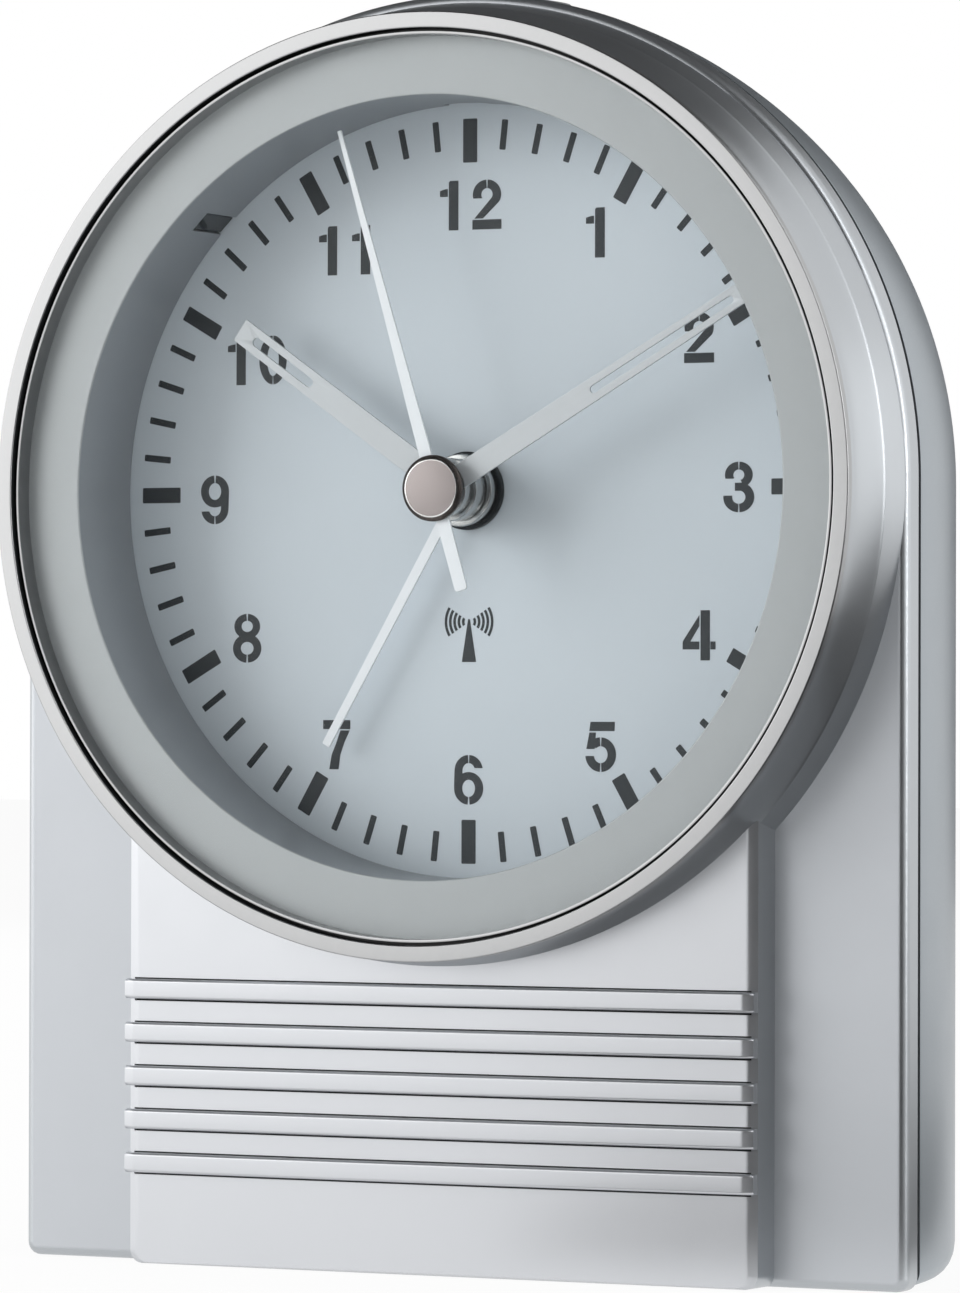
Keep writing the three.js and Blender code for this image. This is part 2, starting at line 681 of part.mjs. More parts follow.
function rearShell() {
  const outer = rearOuter();
  const rabbet = loft([seamDepth - past, seamDepth + lipDepth + gap].map((depth) => ({
    depth,
    outline: archOutline(lipInset - gap / 2, frontCornerRadius, caseBottom + lipInset - gap / 2),
  })));
  const shell = cut(outer, rearInner(), rabbet);
  const tray = box(-trayHalf - trayWall, trayHalf + trayWall, trayFloor - trayWall, backInner + easy,
    trayBottom - trayWall, trayTop + trayWall);
  const bayBox = box(-bay.halfWidth - wall, bay.halfWidth + wall, bayInner, backInner + easy,
    bayBottom - wall, bayTop + wall);
  const bosses = screwPlaces.map(([x, z]) => (
    common(rod(x, z, rearBossRadius, bossEnd + fit, caseDepth - easy), outer)));
  const saddles = [-1, 1].map((side) => cut(
    box(side * antenna.saddleX - antenna.saddleHalf, side * antenna.saddleX + antenna.saddleHalf,
      antennaDepth - antenna.saddleReach, backInner + easy, trayTop + trayWall - easy, antennaZ),
    crossBar(-antenna.halfLength, antenna.halfLength, antennaDepth, antennaZ, antenna.radius + fit)));
  const hangers = [-1, 1].map((side) => common(
    round(side * snoozeBoard.pinX, snooze.depth, snoozeBoard.hangerRadius, snoozeBoardTop + fit, caseTop),
    outer));
  const pins = [-1, 1].map((side) => round(
    side * snoozeBoard.pinX, snooze.depth, snoozeBoard.pinRadius,
    snoozeBoardTop - snoozeBoard.pinLength, snoozeBoardTop + past));
  const solid = join(shell, tray, bayBox, ...bosses, ...saddles, ...hangers, ...pins);
  const trayHollow = box(-trayHalf, trayHalf, trayFloor, caseDepth + past, trayBottom, trayTop);
  const doorOpening = box(-doorWidth / 2 - gap, doorWidth / 2 + gap, doorDepth - fit, caseDepth + past,
    doorBottom - gap, doorTop + gap);
  const bayHollow = box(-bay.halfWidth, bay.halfWidth, bayFloor, caseDepth + past, bayBottom, bayTop);
  const headHoles = screwPlaces.map(([x, z]) => rod(x, z, headRadius + gap, headDepth, caseDepth + past));
  const shaftHoles = screwPlaces.map(([x, z]) => (
    rod(x, z, screwRadius + gap, bossEnd - past, headDepth + past)));
  const knobHole = rod(knobX, dialHeight, knobShaftRadius + gap, bayInner - past, bayFloor + past);
  const buttonHoles = buttonX.map((x) => (
    rod(x, buttonZ, buttonRadius + gap, bayInner - past, bayFloor + past)));
  const slideHalf = (slideSize.width + slideTravel) / 2 + gap;
  const slideSlot = box(slideX - slideHalf, slideX + slideHalf, bayInner - past, bayFloor + past,
    slideZ - slideSize.height / 2 - gap, slideZ + slideSize.height / 2 + gap);
  const soundSlots = [];
  for (let i = 0; i < soundSlot.count; i += 1) {
    const x = (i - (soundSlot.count - 1) / 2) * soundSlot.pitch;
    const bottom = bayTop + soundSlot.aboveBay;
    soundSlots.push(box(x - soundSlot.width / 2, x + soundSlot.width / 2, backInner - past, caseDepth + past,
      bottom, bottom + soundSlot.height));
  }
  const snoozeHole = upright(0, snooze.depth, snooze.halfWidth + gap, snooze.halfDepth + gap,
    flangeTop, caseTop + past);
  const footPockets = footPlaces.map(([x, depth]) => (
    round(x, depth, footRadius + fit, caseBottom - past, footHeight + fit)));
  return cut(solid, trayHollow, doorOpening, bayHollow, ...headHoles, ...shaftHoles, knobHole,
    ...buttonHoles, slideSlot, ...soundSlots, snoozeHole, ...footPockets);
}

piece(clock, 'front_shell', frontShell(), silverPaint);
piece(clock, 'rear_shell', rearShell(), rearPaint);

// Bezel ring: a rounded rim, a groove and an inner lip that holds the window
function bezelRing() {
  const rimInner = bezelRadius - bezelRim;
  return lathe([
    [bezelInnerRadius, lensDepth - fit], [bezelInnerRadius, bezelLip],
    [rimInner - bezelGroove.width, bezelGroove.front], [rimInner - bezelGroove.width, bezelGroove.floor],
    [rimInner, bezelGroove.floor], [rimInner, bezelBevel], [rimInner + bezelBevel, 0],
    [bezelRadius - bezelEdge, 0], [bezelRadius, bezelEdge], [bezelRadius, bezelThickness],
    [spigotOuter, bezelThickness], [spigotOuter, seatDepth - fit],
    [spigotInner, seatDepth - fit], [spigotInner, lensDepth - fit],
  ]);
}

piece(dialGroup, 'bezel_ring', bezelRing(), plated);
piece(dialGroup, 'lens', disc(lensRadius, lensDepth, lensDepth + lensThickness), clearPlastic);

// Dial surround: flat ring in front, deep wall behind it, windows for the dial lights
const windows = [
  { name: 'dial_light_left', angle: -windowAngle, ...sideWindow },
  { name: 'dial_light_top', angle: 0, ...topWindow },
  { name: 'dial_light_right', angle: windowAngle, ...sideWindow },
].map((window) => ({ ...window, front: dialDepth - window.length }));

function dialSurround() {
  const body = lathe([
    [surroundRadius, flangeDepth], [lensRadius, flangeDepth], [lensRadius, seatDepth - fit],
    [surroundOuter, seatDepth - fit], [surroundOuter, dialDepth - fit], [surroundRadius, dialDepth - fit],
  ]);
  const holes = windows.map(({ angle, width, front }) => (
    box(-width / 2, width / 2, front, dialDepth + past, surroundRadius - past, surroundOuter + past)
      .rotateY(radians(angle))));
  return cut(body, ...holes);
}

piece(dialGroup, 'dial_surround', dialSurround(), surroundPaint);
piece(dialGroup, 'dial', tube(bushRadius + fit, dialRadius, dialDepth, dialDepth + dialThickness), dialPaint);
for (const { name, angle, width, front } of windows) {
  const guide = box(fit - width / 2, width / 2 - fit, front + fit, dialDepth - gap,
    surroundRadius + fit, surroundOuter + fit);
  const turned = new THREE.Group();
  turned.rotation.y = radians(angle);
  dialGroup.add(turned);
  piece(turned, name, guide, guidePlastic);
}

function dialCarrier() {
  const notches = screwPlaces.filter(([, z]) => z > dialHeight).map(([x, z]) => (
    rod(x, z - dialHeight, bossRadius + gap, carrierDepth - past, plateDepth + past)));
  const rim = dialRadius + carrierOverlap;
  const ring = tube(bushRadius + fit, rim, carrierDepth, carrierDepth + carrierThickness);
  return cut(ring, ...notches);
}

piece(dialGroup, 'dial_carrier', dialCarrier(), blackPlastic);

// Hands: a blade on a collar, each in a group turned to the shown angle

// Radii of the nested tubes, from the second arbor outwards
const minuteBore = arborRadius + arborGap;
const minuteTube = minuteBore + tubeWall;
const hourBore = minuteTube + arborGap;
const hourTube = hourBore + tubeWall;
const alarmBore = hourTube + arborGap;
const alarmTube = alarmBore + tubeWall;

function blade({ depth, tipGap, width, tip, slot }) {
  const length = surroundRadius - tipGap;
  const shape = new THREE.Shape();
  shape.moveTo(-width / 2, 0);
  shape.lineTo(width / 2, 0);
  shape.lineTo(tip / 2, length);
  shape.lineTo(-tip / 2, length);
  shape.closePath();
  if (slot) {
    const half = slot.width / 2;
    const end = length - slot.fromTip;
    const start = end - slot.length;
    const hole = new THREE.Path();
    hole.moveTo(half, start + half);
    hole.lineTo(half, end - half);
    hole.absarc(0, end - half, half, 0, Math.PI);
    hole.lineTo(-half, start + half);
    hole.absarc(0, start + half, half, Math.PI, 2 * Math.PI);
    shape.holes.push(hole);
  }
  return plate(shape, depth, depth + bladeThickness, 4);
}

function handGroup(angle) {
  const group = new THREE.Group();
  group.rotation.y = radians(angle);
  dialGroup.add(group);
  return group;
}

// A blade joined to its collar and bored for the tube that it is pressed on
function hand(size, collar, collarEnd, bore) {
  const ring = disc(collar, size.depth, collarEnd, middleSteps);
  return cut(join(blade(size), ring), disc(bore, size.depth - past, collarEnd + past, smallSteps));
}

function secondBlade() {
  const length = surroundRadius - second.tipGap;
  const shape = new THREE.Shape();
  shape.moveTo(-second.tailWidth / 2, -second.tail);
  shape.lineTo(second.tailWidth / 2, -second.tail);
  shape.lineTo(second.width / 2, 0);
  shape.lineTo(second.tip / 2, length);
  shape.lineTo(-second.tip / 2, length);
  shape.lineTo(-second.width / 2, 0);
  shape.closePath();
  const flat = plate(shape, second.depth, second.depth + bladeThickness);
  const collar = disc(collarRadius.second, second.depth, minute.depth - gap, middleSteps);
  const bore = disc(arborRadius + fit, second.depth - past, minute.depth + past, smallSteps);
  return cut(join(flat, collar), bore);
}

const secondHand = handGroup(second.angle);
piece(secondHand, 'second_hand', secondBlade(), brightHand);
piece(secondHand, 'hand_cap', lathe([
  [0, capDepth], [capRadius - capChamfer, capDepth], [capRadius, capDepth + capChamfer],
  [capRadius, second.depth - fit], [0, second.depth - fit],
], middleSteps), capMetal);

const minuteHand = handGroup(minute.angle);
piece(minuteHand, 'minute_hand', hand(
  minute, collarRadius.minute, hour.depth - gap, minuteTube + fit / 2,
), handPaint);

const hourHand = handGroup(hour.angle);
piece(hourHand, 'hour_hand', hand(
  hour, collarRadius.hour, alarm.depth - gap, hourTube + fit / 2,
), handPaint);

const alarmHand = handGroup(alarm.angle);
piece(alarmHand, 'alarm_hand', hand(
  alarm, collarRadius.alarm, nutFront - gap - fit, alarmTube + fit / 2,
), brightHand);

piece(dialGroup, 'dial_nut', tube(
  bushRadius + fit, nutRadius, nutFront, dialDepth - fit, middleSteps,
), darkMetal);

// Movement: front plate with bush, rear cup, wheels, rotors, stators and coils

const movementHalf = movementWidth / 2;

// A square slab with rounded corners, a margin inside the movement's outline
function slab(margin, front, back) {
  const half = movementHalf - margin;
  const outline = rectOutline(half, -half, half, movementCorner - margin);
  return loft([{ depth: front, outline }, { depth: back, outline }]);
}

const frontPlate = cut(
  join(
    slab(0, plateDepth, plateDepth + plateThickness),
    disc(bushRadius, nutFront, plateDepth + plateThickness / 2, middleSteps),
  ),
  disc(alarmTube + arborGap, 0, plateDepth + plateThickness + past, middleSteps),
);
piece(dialGroup, 'movement_front_plate', frontPlate, whitePlastic);

const cupFront = plateDepth + plateThickness + fit;
const cupHalf = movementHalf - cupWall;
const arborEnd = movementBack - cupWall - fit;
const rearCup = cut(
  slab(0, cupFront, movementBack),
  slab(cupWall, cupFront - past, movementBack - cupWall),
  rod(knobX, 0, knobShaftRadius + fit, movementBack - cupWall - past, movementBack + past),
);
piece(dialGroup, 'movement_rear_cup', rearCup, whitePlastic);

// Half a tooth of turn brings a gear into mesh with one that has a tooth on the line between them
const meshTurn = (count) => (count % 2 ? 0 : Math.PI / count);

piece(dialGroup, 'alarm_wheel', join(
  gear(teeth.alarmWheel, gearModule, alarmBore, layer.alarm),
  tube(alarmBore, alarmTube, alarm.depth, layer.alarm + gearThickness, smallSteps)), whitePlastic);

piece(dialGroup, 'hour_wheel', join(
  gear(teeth.hourWheel, gearModule, hourBore, layer.hour),
  tube(hourBore, hourTube, hour.depth, layer.hour + gearThickness, smallSteps)), whitePlastic);

piece(dialGroup, 'minute_wheel', join(
  gear(teeth.minutePinion, gearModule, minuteBore, layer.minute),
  tube(minuteBore, minuteTube, minute.depth, layer.second - gap, smallSteps)), brass);

piece(dialGroup, 'second_wheel', join(
  gear(teeth.secondWheel, secondModule, 0, layer.second),
  disc(arborRadius, second.depth, arborEnd, smallSteps)), brass);

const intermediate = new THREE.Group();
intermediate.position.x = centreDistance;
dialGroup.add(intermediate);
piece(intermediate, 'intermediate_wheel', join(
  gear(teeth.intermediateWheel, gearModule, 0, layer.minute).rotateY(meshTurn(teeth.intermediateWheel)),
  gear(teeth.intermediatePinion, gearModule, 0, layer.hour, gearStep + fit)
    .rotateY(meshTurn(teeth.intermediatePinion)),
  disc(arborRadius, cupFront, arborEnd, tinySteps)), whitePlastic);

// A stepper rotor: pinion, round magnet and arbor
function rotor(module, arborFront, pinionFront, magnetFront) {
  return join(
    gear(teeth.rotorPinion, module, 0, pinionFront, magnetFront - pinionFront + fit),
    disc(rotorRadius, magnetFront, magnetFront + rotorLength, smallSteps),
    disc(rotorArbor, arborFront, arborEnd, tinySteps));
}

// A stator frame with a round hole for the rotor and a bar that passes through the coil
function statorShape(rotorX, rotorZ, bottom) {
  const left = rotorX - statorHalf;
  const right = rotorX + statorHalf;
  const top = rotorZ + rotorRadius + statorRim;
  const shape = new THREE.Shape();
  shape.moveTo(left, bottom);
  shape.lineTo(right, bottom);
  shape.lineTo(right, top);
  shape.lineTo(left, top);
  shape.closePath();
  shape.holes.push(new THREE.Path().absarc(rotorX, rotorZ, rotorRadius + easy, 0, 2 * Math.PI));
  const window = new THREE.Path();
  window.moveTo(left + statorRail, bottom + statorBar);
  window.lineTo(left + statorRail, rotorZ - rotorRadius - statorRim);
  window.lineTo(right - statorRail, rotorZ - rotorRadius - statorRim);
  window.lineTo(right - statorRail, bottom + statorBar);
  window.closePath();
  shape.holes.push(window);
  return shape;
}

function coil(x, z, depth) {
  const body = box(x - coilLength / 2, x + coilLength / 2, depth - coilSize / 2, depth + coilSize / 2,
    z - coilSize / 2, z + coilSize / 2);
  const core = box(x - coilLength, x + coilLength, depth - statorThickness / 2 - fit,
    depth + statorThickness / 2 + fit, z - statorBar / 2 - fit, z + statorBar / 2 + fit);
  return cut(body, core);
}

const rotorTurn = radians(minuteRotorAngle);
const drives = [
  {
    name: 'minute',
    module: gearModule,
    x: centreDistance + rotorDistance * Math.cos(rotorTurn),
    z: rotorDistance * Math.sin(rotorTurn),
    arborFront: cupFront,
    pinionFront: layer.minute,
  },
  {
    name: 'second',
    module: secondModule,
    x: 0,
    z: -secondDistance,
    arborFront: layer.middle + fit,
    pinionFront: layer.second,
  },
];

// Middle plate: carries the second train, with holes for what passes through it
const pinionReach = (gearModule * teeth.rotorPinion) / 2 + gearModule;
piece(dialGroup, 'movement_middle_plate', cut(
  slab(cupWall + fit, layer.middle, layer.middle + middlePlate),
  rod(0, 0, minuteTube + arborGap, layer.middle - past, layer.second),
  rod(centreDistance, 0, arborRadius + arborGap, layer.middle - past, layer.second, tinySteps),
  rod(knobX, 0, knobShaftRadius + fit, layer.middle - past, layer.second),
  rod(drives[0].x, drives[0].z, pinionReach, layer.middle - past, layer.second),
  rod(drives[1].x, drives[1].z, rotorArbor + arborGap, layer.middle - past, layer.second, tinySteps),
), whitePlastic);

for (const drive of drives) {
  const group = new THREE.Group();
  group.position.set(drive.x, 0, drive.z);
  dialGroup.add(group);
  const turned = rotor(drive.module, drive.arborFront, drive.pinionFront, magnetDepth);
  const wheelPitch = drive.name === 'minute' ? teeth.intermediateWheel : teeth.secondWheel;
  turned.rotateY(meshAngle(drive, wheelPitch));
  piece(group, `${drive.name}_rotor`, turned, darkMetal);
  const barMiddle = gap + coilSize / 2 - cupHalf;
  const shape = statorShape(drive.x, drive.z, barMiddle - statorBar / 2);
  piece(dialGroup, `${drive.name}_stator`,
    plate(shape, statorDepth - statorThickness / 2, statorDepth + statorThickness / 2), zinc);
  piece(dialGroup, `${drive.name}_coil`, coil(drive.x, barMiddle, statorDepth), copper);
}

// The turn that puts a gap of the rotor pinion opposite a tooth of its wheel
function meshAngle(drive, wheelTeeth) {
  const wheelX = drive.name === 'minute' ? centreDistance : 0;
  const towards = Math.atan2(drive.x - wheelX, drive.z);
  const offset = drive.name === 'minute' ? meshTurn(teeth.intermediateWheel) : 0;
  const wheelStep = (2 * Math.PI) / wheelTeeth;
  const pinionStep = (2 * Math.PI) / teeth.rotorPinion;
  const phase = ((towards - offset) % wheelStep) / wheelStep;
  const back = towards + Math.PI;
  return back + pinionStep / 2 + phase * pinionStep;
}

// Alarm setting knob on a long shaft with the pinion that turns the alarm wheel
function alarmKnob() {
  const shape = new THREE.Shape();
  const points = [];
  for (let i = 0; i < knobFlutes; i += 1) {
    const middle = (2 * Math.PI * i) / knobFlutes;
    const step = Math.PI / knobFlutes;
    const ridge = step * (1 - fluteShare);
    points.push([knobRadius, middle - ridge], [knobRadius, middle + ridge]);
    points.push([knobRadius - fluteDepth, middle + step]);
  }
  shape.setFromPoints(points.map(([radius, angle]) => (
    new THREE.Vector2(radius * Math.cos(angle), radius * Math.sin(angle)))));
  const headFront = bayFloor + gap;
  const headBack = headFront + knobHeight;
  const head = plate(shape, headFront, headBack);
  const shaftFront = layer.alarm + gearThickness / 2;
  const shaft = disc(knobShaftRadius, shaftFront, headFront + knobHeight / 2, smallSteps);
  const pinion = gear(teeth.knobPinion, gearModule, 0, layer.alarm);
  const grip = box(-gripWidth / 2, gripWidth / 2, headBack - gripDepth, headBack + past,
    -knobRadius - past, knobRadius + past);
  return cut(join(head, shaft, pinion), grip);
}

const knobGroup = new THREE.Group();
knobGroup.position.x = knobX;
dialGroup.add(knobGroup);
piece(knobGroup, 'alarm_set_knob', alarmKnob().rotateY(Math.PI / 2), blackPlastic);

// Circuit board with the switches of the control bay, and the buttons that press them

function circuitBoard() {
  const flat = box(-boardHalf, boardHalf, boardDepth, boardBack, dialHeight - boardBelowDial,
    bayTop + boardAboveBay);
  const switches = buttonX.map((x) => box(x - switchHalf, x + switchHalf, boardBack - fit, switchTop,
    buttonZ - switchHalf, buttonZ + switchHalf));
  const slide = box(slideX - slideSwitchHalf, slideX + slideSwitchHalf, boardBack - fit, switchTop,
    slideZ - switchHalf, slideZ + switchHalf);
  const shaft = rod(knobX, dialHeight, knobShaftRadius + easy, boardDepth - past, boardBack + past);
  return cut(join(flat, slide, ...switches), shaft);
}

piece(clock, 'circuit_board', circuitBoard(), boardGreen);
piece(clock, 'buzzer', rod(0, bayTop + buzzerSize.aboveBay, buzzerSize.radius, boardBack + fit,
  boardBack + fit + buzzerSize.height), blackPlastic);

['set_button', 'receive_button', 'reset_button'].forEach((name, i) => {
  const stemEnd = switchTop + buttonTravel + fit;
  const flangeBack = bayInner - gap;
  const flangeRadius = buttonRadius + buttonFlange.proud;
  const face = caseDepth - buttonRecess;
  const cap = lathe([
    [0, stemEnd], [buttonStem, stemEnd],
    [buttonStem, flangeBack - buttonFlange.height], [flangeRadius, flangeBack - buttonFlange.height],
    [flangeRadius, flangeBack], [buttonRadius, flangeBack],
    [buttonRadius, face - buttonChamfer], [buttonRadius - buttonChamfer, face], [0, face],
  ], smallSteps);
  piece(clock, name, cap.translate(buttonX[i], 0, buttonZ), buttonPaint);
});

function alarmSlide() {
  const left = slideX - slideTravel / 2;
  const thumb = box(left - slideSize.width / 2, left + slideSize.width / 2, bayInner - gap,
    bayFloor + slideSize.depth, slideZ - slideSize.height / 2, slideZ + slideSize.height / 2);
  const keeperHalf = slideSize.width / 2 + keeperProud;
  const keeperRise = slideSize.height / 2 + keeperProud;
  const keeper = box(left - keeperHalf, left + keeperHalf, switchTop + fit, bayInner - gap + fit,
    slideZ - keeperRise, slideZ + keeperRise);
  return join(thumb, keeper);
}

piece(clock, 'alarm_switch', alarmSlide(), blackPlastic);

// Antenna rod on its saddles, with its winding
piece(clock, 'antenna_rod', crossBar(
  -antenna.halfLength, antenna.halfLength, antennaDepth, antennaZ, antenna.radius,
), ferrite);
piece(clock, 'antenna_coil', cut(
  crossBar(-antenna.coilHalf, antenna.coilHalf, antennaDepth, antennaZ, antenna.coilRadius, middleSteps),
  crossBar(-antenna.halfLength, antenna.halfLength, antennaDepth, antennaZ, antenna.radius + fit)),
copper);

// Battery bay: two cells, contacts, springs and the door

function cell(z, nubSide) {
  const length = cellLength - cellNub;
  const profile = [[0, 0], [cellRadius - cellEdge, 0], [cellRadius, cellEdge],
    [cellRadius, length - cellEdge], [cellRadius - cellEdge, length],
    [nubRadius, length], [nubRadius, cellLength], [0, cellLength]];
  const points = profile.map(([radius, along]) => new THREE.Vector2(radius, along - cellLength / 2));
  const geometry = new THREE.LatheGeometry(points, middleSteps);
  const shift = contactFace - cellLength / 2;
  return geometry.rotateZ((-nubSide * Math.PI) / 2).translate(nubSide * shift, yAt(cellDepth), z);
}

const cells = [
  { name: 'lower', z: cellMiddle - cellPitch / 2, nubSide: 1 },
  { name: 'upper', z: cellMiddle + cellPitch / 2, nubSide: -1 },
];

// A round helix of wire along X, from the contact plate to the flat end of the cell
class Helix extends THREE.Curve {
  constructor(start, length, radius, turns) {
    super();
    Object.assign(this, { start, length, radius, turns });
  }

  getPoint(t, target = new THREE.Vector3()) {
    const angle = 2 * Math.PI * this.turns * t;
    return target.set(this.start + this.length * t, this.radius * Math.cos(angle),
      this.radius * Math.sin(angle));
  }
}

function spring(side, z) {
  const room = springRoom - springWire - 2 * fit;
  const start = side * (contactFace - springWire / 2);
  const path = new Helix(start, -side * room, springRadius, springTurns);
  const wire = new THREE.Shape().absarc(0, 0, springWire / 2, 0, 2 * Math.PI);
  const options = { steps: 24, curveSegments: 3, bevelEnabled: false, extrudePath: path };
  return new THREE.ExtrudeGeometry(wire, options).translate(0, yAt(cellDepth), z);
}

function contact(side, bottom, top) {
  const outer = side * (trayHalf - fit);
  const inner = side * (trayHalf - fit - contactThickness);
  return box(Math.min(outer, inner), Math.max(outer, inner), cellDepth - contactHalf, cellDepth + contactHalf,
    bottom, top);
}

for (const { name, z, nubSide } of cells) {
  piece(clock, `battery_${name}`, cell(z, nubSide), cellSleeve);
  piece(clock, `contact_spring_${name}`, spring(-nubSide, z), zinc);
  piece(clock, `contact_plate_${name}`, contact(1, z - contactHalf, z + contactHalf), zinc);
}
piece(clock, 'contact_bridge', contact(-1, cells[0].z - contactHalf, cells[1].z + contactHalf), zinc);

// The door turns about its rounded lower edge
function batteryDoor() {
  const pivot = doorThickness / 2;
  const hingeDepth = doorDepth + pivot;
  const flat = box(-doorWidth / 2, doorWidth / 2, doorDepth, caseDepth, doorBottom + pivot, doorTop);
  const hinge = crossBar(-doorWidth / 2, doorWidth / 2, hingeDepth, doorBottom + pivot, pivot);
  const dip = round(0, caseDepth + fingerDip.radius - fingerDip.depth, fingerDip.radius,
    doorTop - fingerDip.height, doorTop + past, middleSteps);
  return cut(join(flat, hinge), dip);
}

piece(clock, 'battery_door', batteryDoor(), rearPaint);

// Snooze and light button on top, with the switch board that hangs under it

function snoozeButton() {
  const padTop = caseTop + snooze.proud + past;
  const pad = common(
    upright(0, snooze.depth, snooze.halfWidth, snooze.halfDepth, flangeTop - easy, padTop),
    disc(snoozeTop, snooze.depth - snooze.halfWidth, snooze.depth + snooze.halfWidth, finestSteps)
      .translate(0, 0, archHeight));
  const flange = upright(0, snooze.depth, flangeHalf, snooze.halfDepth - flangeProud,
    flangeTop - flangeHeight, flangeTop);
  const stem = round(0, snooze.depth, stemRadius, stemBottom, flangeTop - easy);
  return join(pad, flange, stem);
}

piece(clock, 'snooze_button', snoozeButton(), buttonPaint);
piece(clock, 'snooze_switch', box(-snoozeSwitch.size / 2, snoozeSwitch.size / 2,
  snooze.depth - snoozeSwitch.size / 2, snooze.depth + snoozeSwitch.size / 2,
  snoozeBoardTop + fit, snoozeSwitchTop), blackPlastic);
piece(clock, 'snooze_board', cut(
  box(-snoozeBoard.halfWidth, snoozeBoard.halfWidth, plateDepth + gap, snooze.depth + snoozeBoard.behind,
    snoozeBoardTop - snoozeBoard.thickness, snoozeBoardTop),
  ...[-1, 1].map((side) => round(side * snoozeBoard.pinX, snooze.depth, snoozeBoard.pinRadius + fit,
    snoozeBoardTop - snoozeBoard.thickness - past, snoozeBoardTop + past)),
), boardGreen);

// Case screws and feet

screwPlaces.forEach(([x, z], i) => {
  const tip = headDepth - screwLength;
  const headTop = headDepth + headHeight;
  const body = lathe([
    [0, tip], [screwPoint.radius, tip], [screwRadius, tip + screwPoint.length],
    [screwRadius, headDepth + fit],
    [headRadius, headDepth + fit], [headRadius, headTop - headBevel], [headRadius - headChamfer, headTop],
    [0, headTop],
  ], smallSteps);
  const slot = box(-crossSlot.reach, crossSlot.reach, headTop - crossSlot.depth, headTop + past,
    -crossSlot.width / 2, crossSlot.width / 2);
  const cross = slot.clone().rotateY(Math.PI / 2);
  piece(clock, `case_screw_${i + 1}`, cut(body, slot, cross).translate(x, 0, z), zinc);
});

footPlaces.forEach(([x, depth], i) => {
  piece(clock, `rubber_foot_${i + 1}`,
    round(x, depth, footRadius, 0, footHeight), rubber);
});

export default clock;
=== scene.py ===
from math import asin, cos, pi, radians, sin, sqrt

import bmesh
import bpy
from mathutils import Matrix, Vector


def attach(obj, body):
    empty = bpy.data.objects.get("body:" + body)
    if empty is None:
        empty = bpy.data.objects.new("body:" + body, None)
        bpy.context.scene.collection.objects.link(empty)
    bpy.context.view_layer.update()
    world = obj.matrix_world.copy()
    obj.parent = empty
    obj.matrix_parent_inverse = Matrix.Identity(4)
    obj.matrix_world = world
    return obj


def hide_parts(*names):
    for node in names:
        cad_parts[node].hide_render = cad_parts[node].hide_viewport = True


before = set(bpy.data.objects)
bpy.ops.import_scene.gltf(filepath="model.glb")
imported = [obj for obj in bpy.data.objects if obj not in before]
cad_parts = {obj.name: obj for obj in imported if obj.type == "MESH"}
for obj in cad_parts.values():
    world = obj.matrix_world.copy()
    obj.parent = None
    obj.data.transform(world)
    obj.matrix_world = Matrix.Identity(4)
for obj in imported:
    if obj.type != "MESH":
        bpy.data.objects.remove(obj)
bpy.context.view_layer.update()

# Front case. One moulding of satin silver plastic: an arch-shaped panel, the slightly bowed column in its
# middle with five ribs across it, and the drum that carries the dial. Four screws from behind hold it.
dial_z = 74.5
arch_z = 75.06
half_width = 46.6
case_bottom = 0.4
front_bottom = 0.08
case_depth = 43
wall = 2
foot_corner = 1.3
arch_steps = 64
panel_front = 9.3
panel_edge = 0.95
seam = 12.5
seam_edge = 0.08
seam_face = seam - 0.44


def at_depth(shape, depth):
    """The edges of a shape that lie at one depth."""
    return [edge for edge in shape.edges if all(abs(v.co.y - depth) < 1e-4 for v in edge.verts)]


def round_corners(shape, corners, points):
    """Rounds the corners of a line whose points give a radius and a number of steps."""
    for corner, (_, _, *rounding) in zip(corners, points):
        if rounding and rounding[0]:
            bmesh.ops.bevel(shape, geom=[corner], offset=rounding[0], offset_type="OFFSET",
                            segments=rounding[1], profile=0.5, affect="VERTICES", material=-1)


def loop(shape, points, depth=0.0):
    """A closed line at one depth through (x, z) points, or (x, z, radius, steps) where a corner is round."""
    corners = [shape.verts.new((x, depth, z)) for x, z, *_ in points]
    for pair in zip(corners, corners[1:] + corners[:1]):
        shape.edges.new(pair)
    round_corners(shape, corners, points)


def arch(shape, depth, inset, corner, bottom):
    """The outline of the case at one depth: round top, straight sides, rounded feet corners."""
    half = half_width - inset
    top = arch_z + half
    loop(shape, [(-half, bottom, corner, 6), (half, bottom, corner, 6),
                 (half, top, half, arch_steps), (-half, top, half, arch_steps)], depth)
    bmesh.ops.remove_doubles(shape, verts=shape.verts, dist=1e-3)


def loft(draw, sections):
    """A closed solid through sections, each drawn at its depth by the same function."""
    shape = bmesh.new()
    for section in sections:
        draw(shape, *section)
    depths = [section[0] for section in sections]
    for near, far in zip(depths, depths[1:]):
        bmesh.ops.bridge_loops(shape, edges=at_depth(shape, near) + at_depth(shape, far))
    for end in (depths[0], depths[-1]):
        bmesh.ops.edgeloop_fill(shape, edges=at_depth(shape, end))
    bmesh.ops.recalc_face_normals(shape, faces=shape.faces)
    return shape


def block(left, right, front, back, bottom, top):
    """A box between six planes, with depths from the front of the bezel."""
    shape = bmesh.new()
    bmesh.ops.create_cube(shape, size=1)
    bmesh.ops.scale(shape, vec=(right - left, back - front, top - bottom), verts=shape.verts)
    centre = ((left + right) / 2, (front + back) / 2, (bottom + top) / 2)
    bmesh.ops.translate(shape, vec=centre, verts=shape.verts)
    return shape


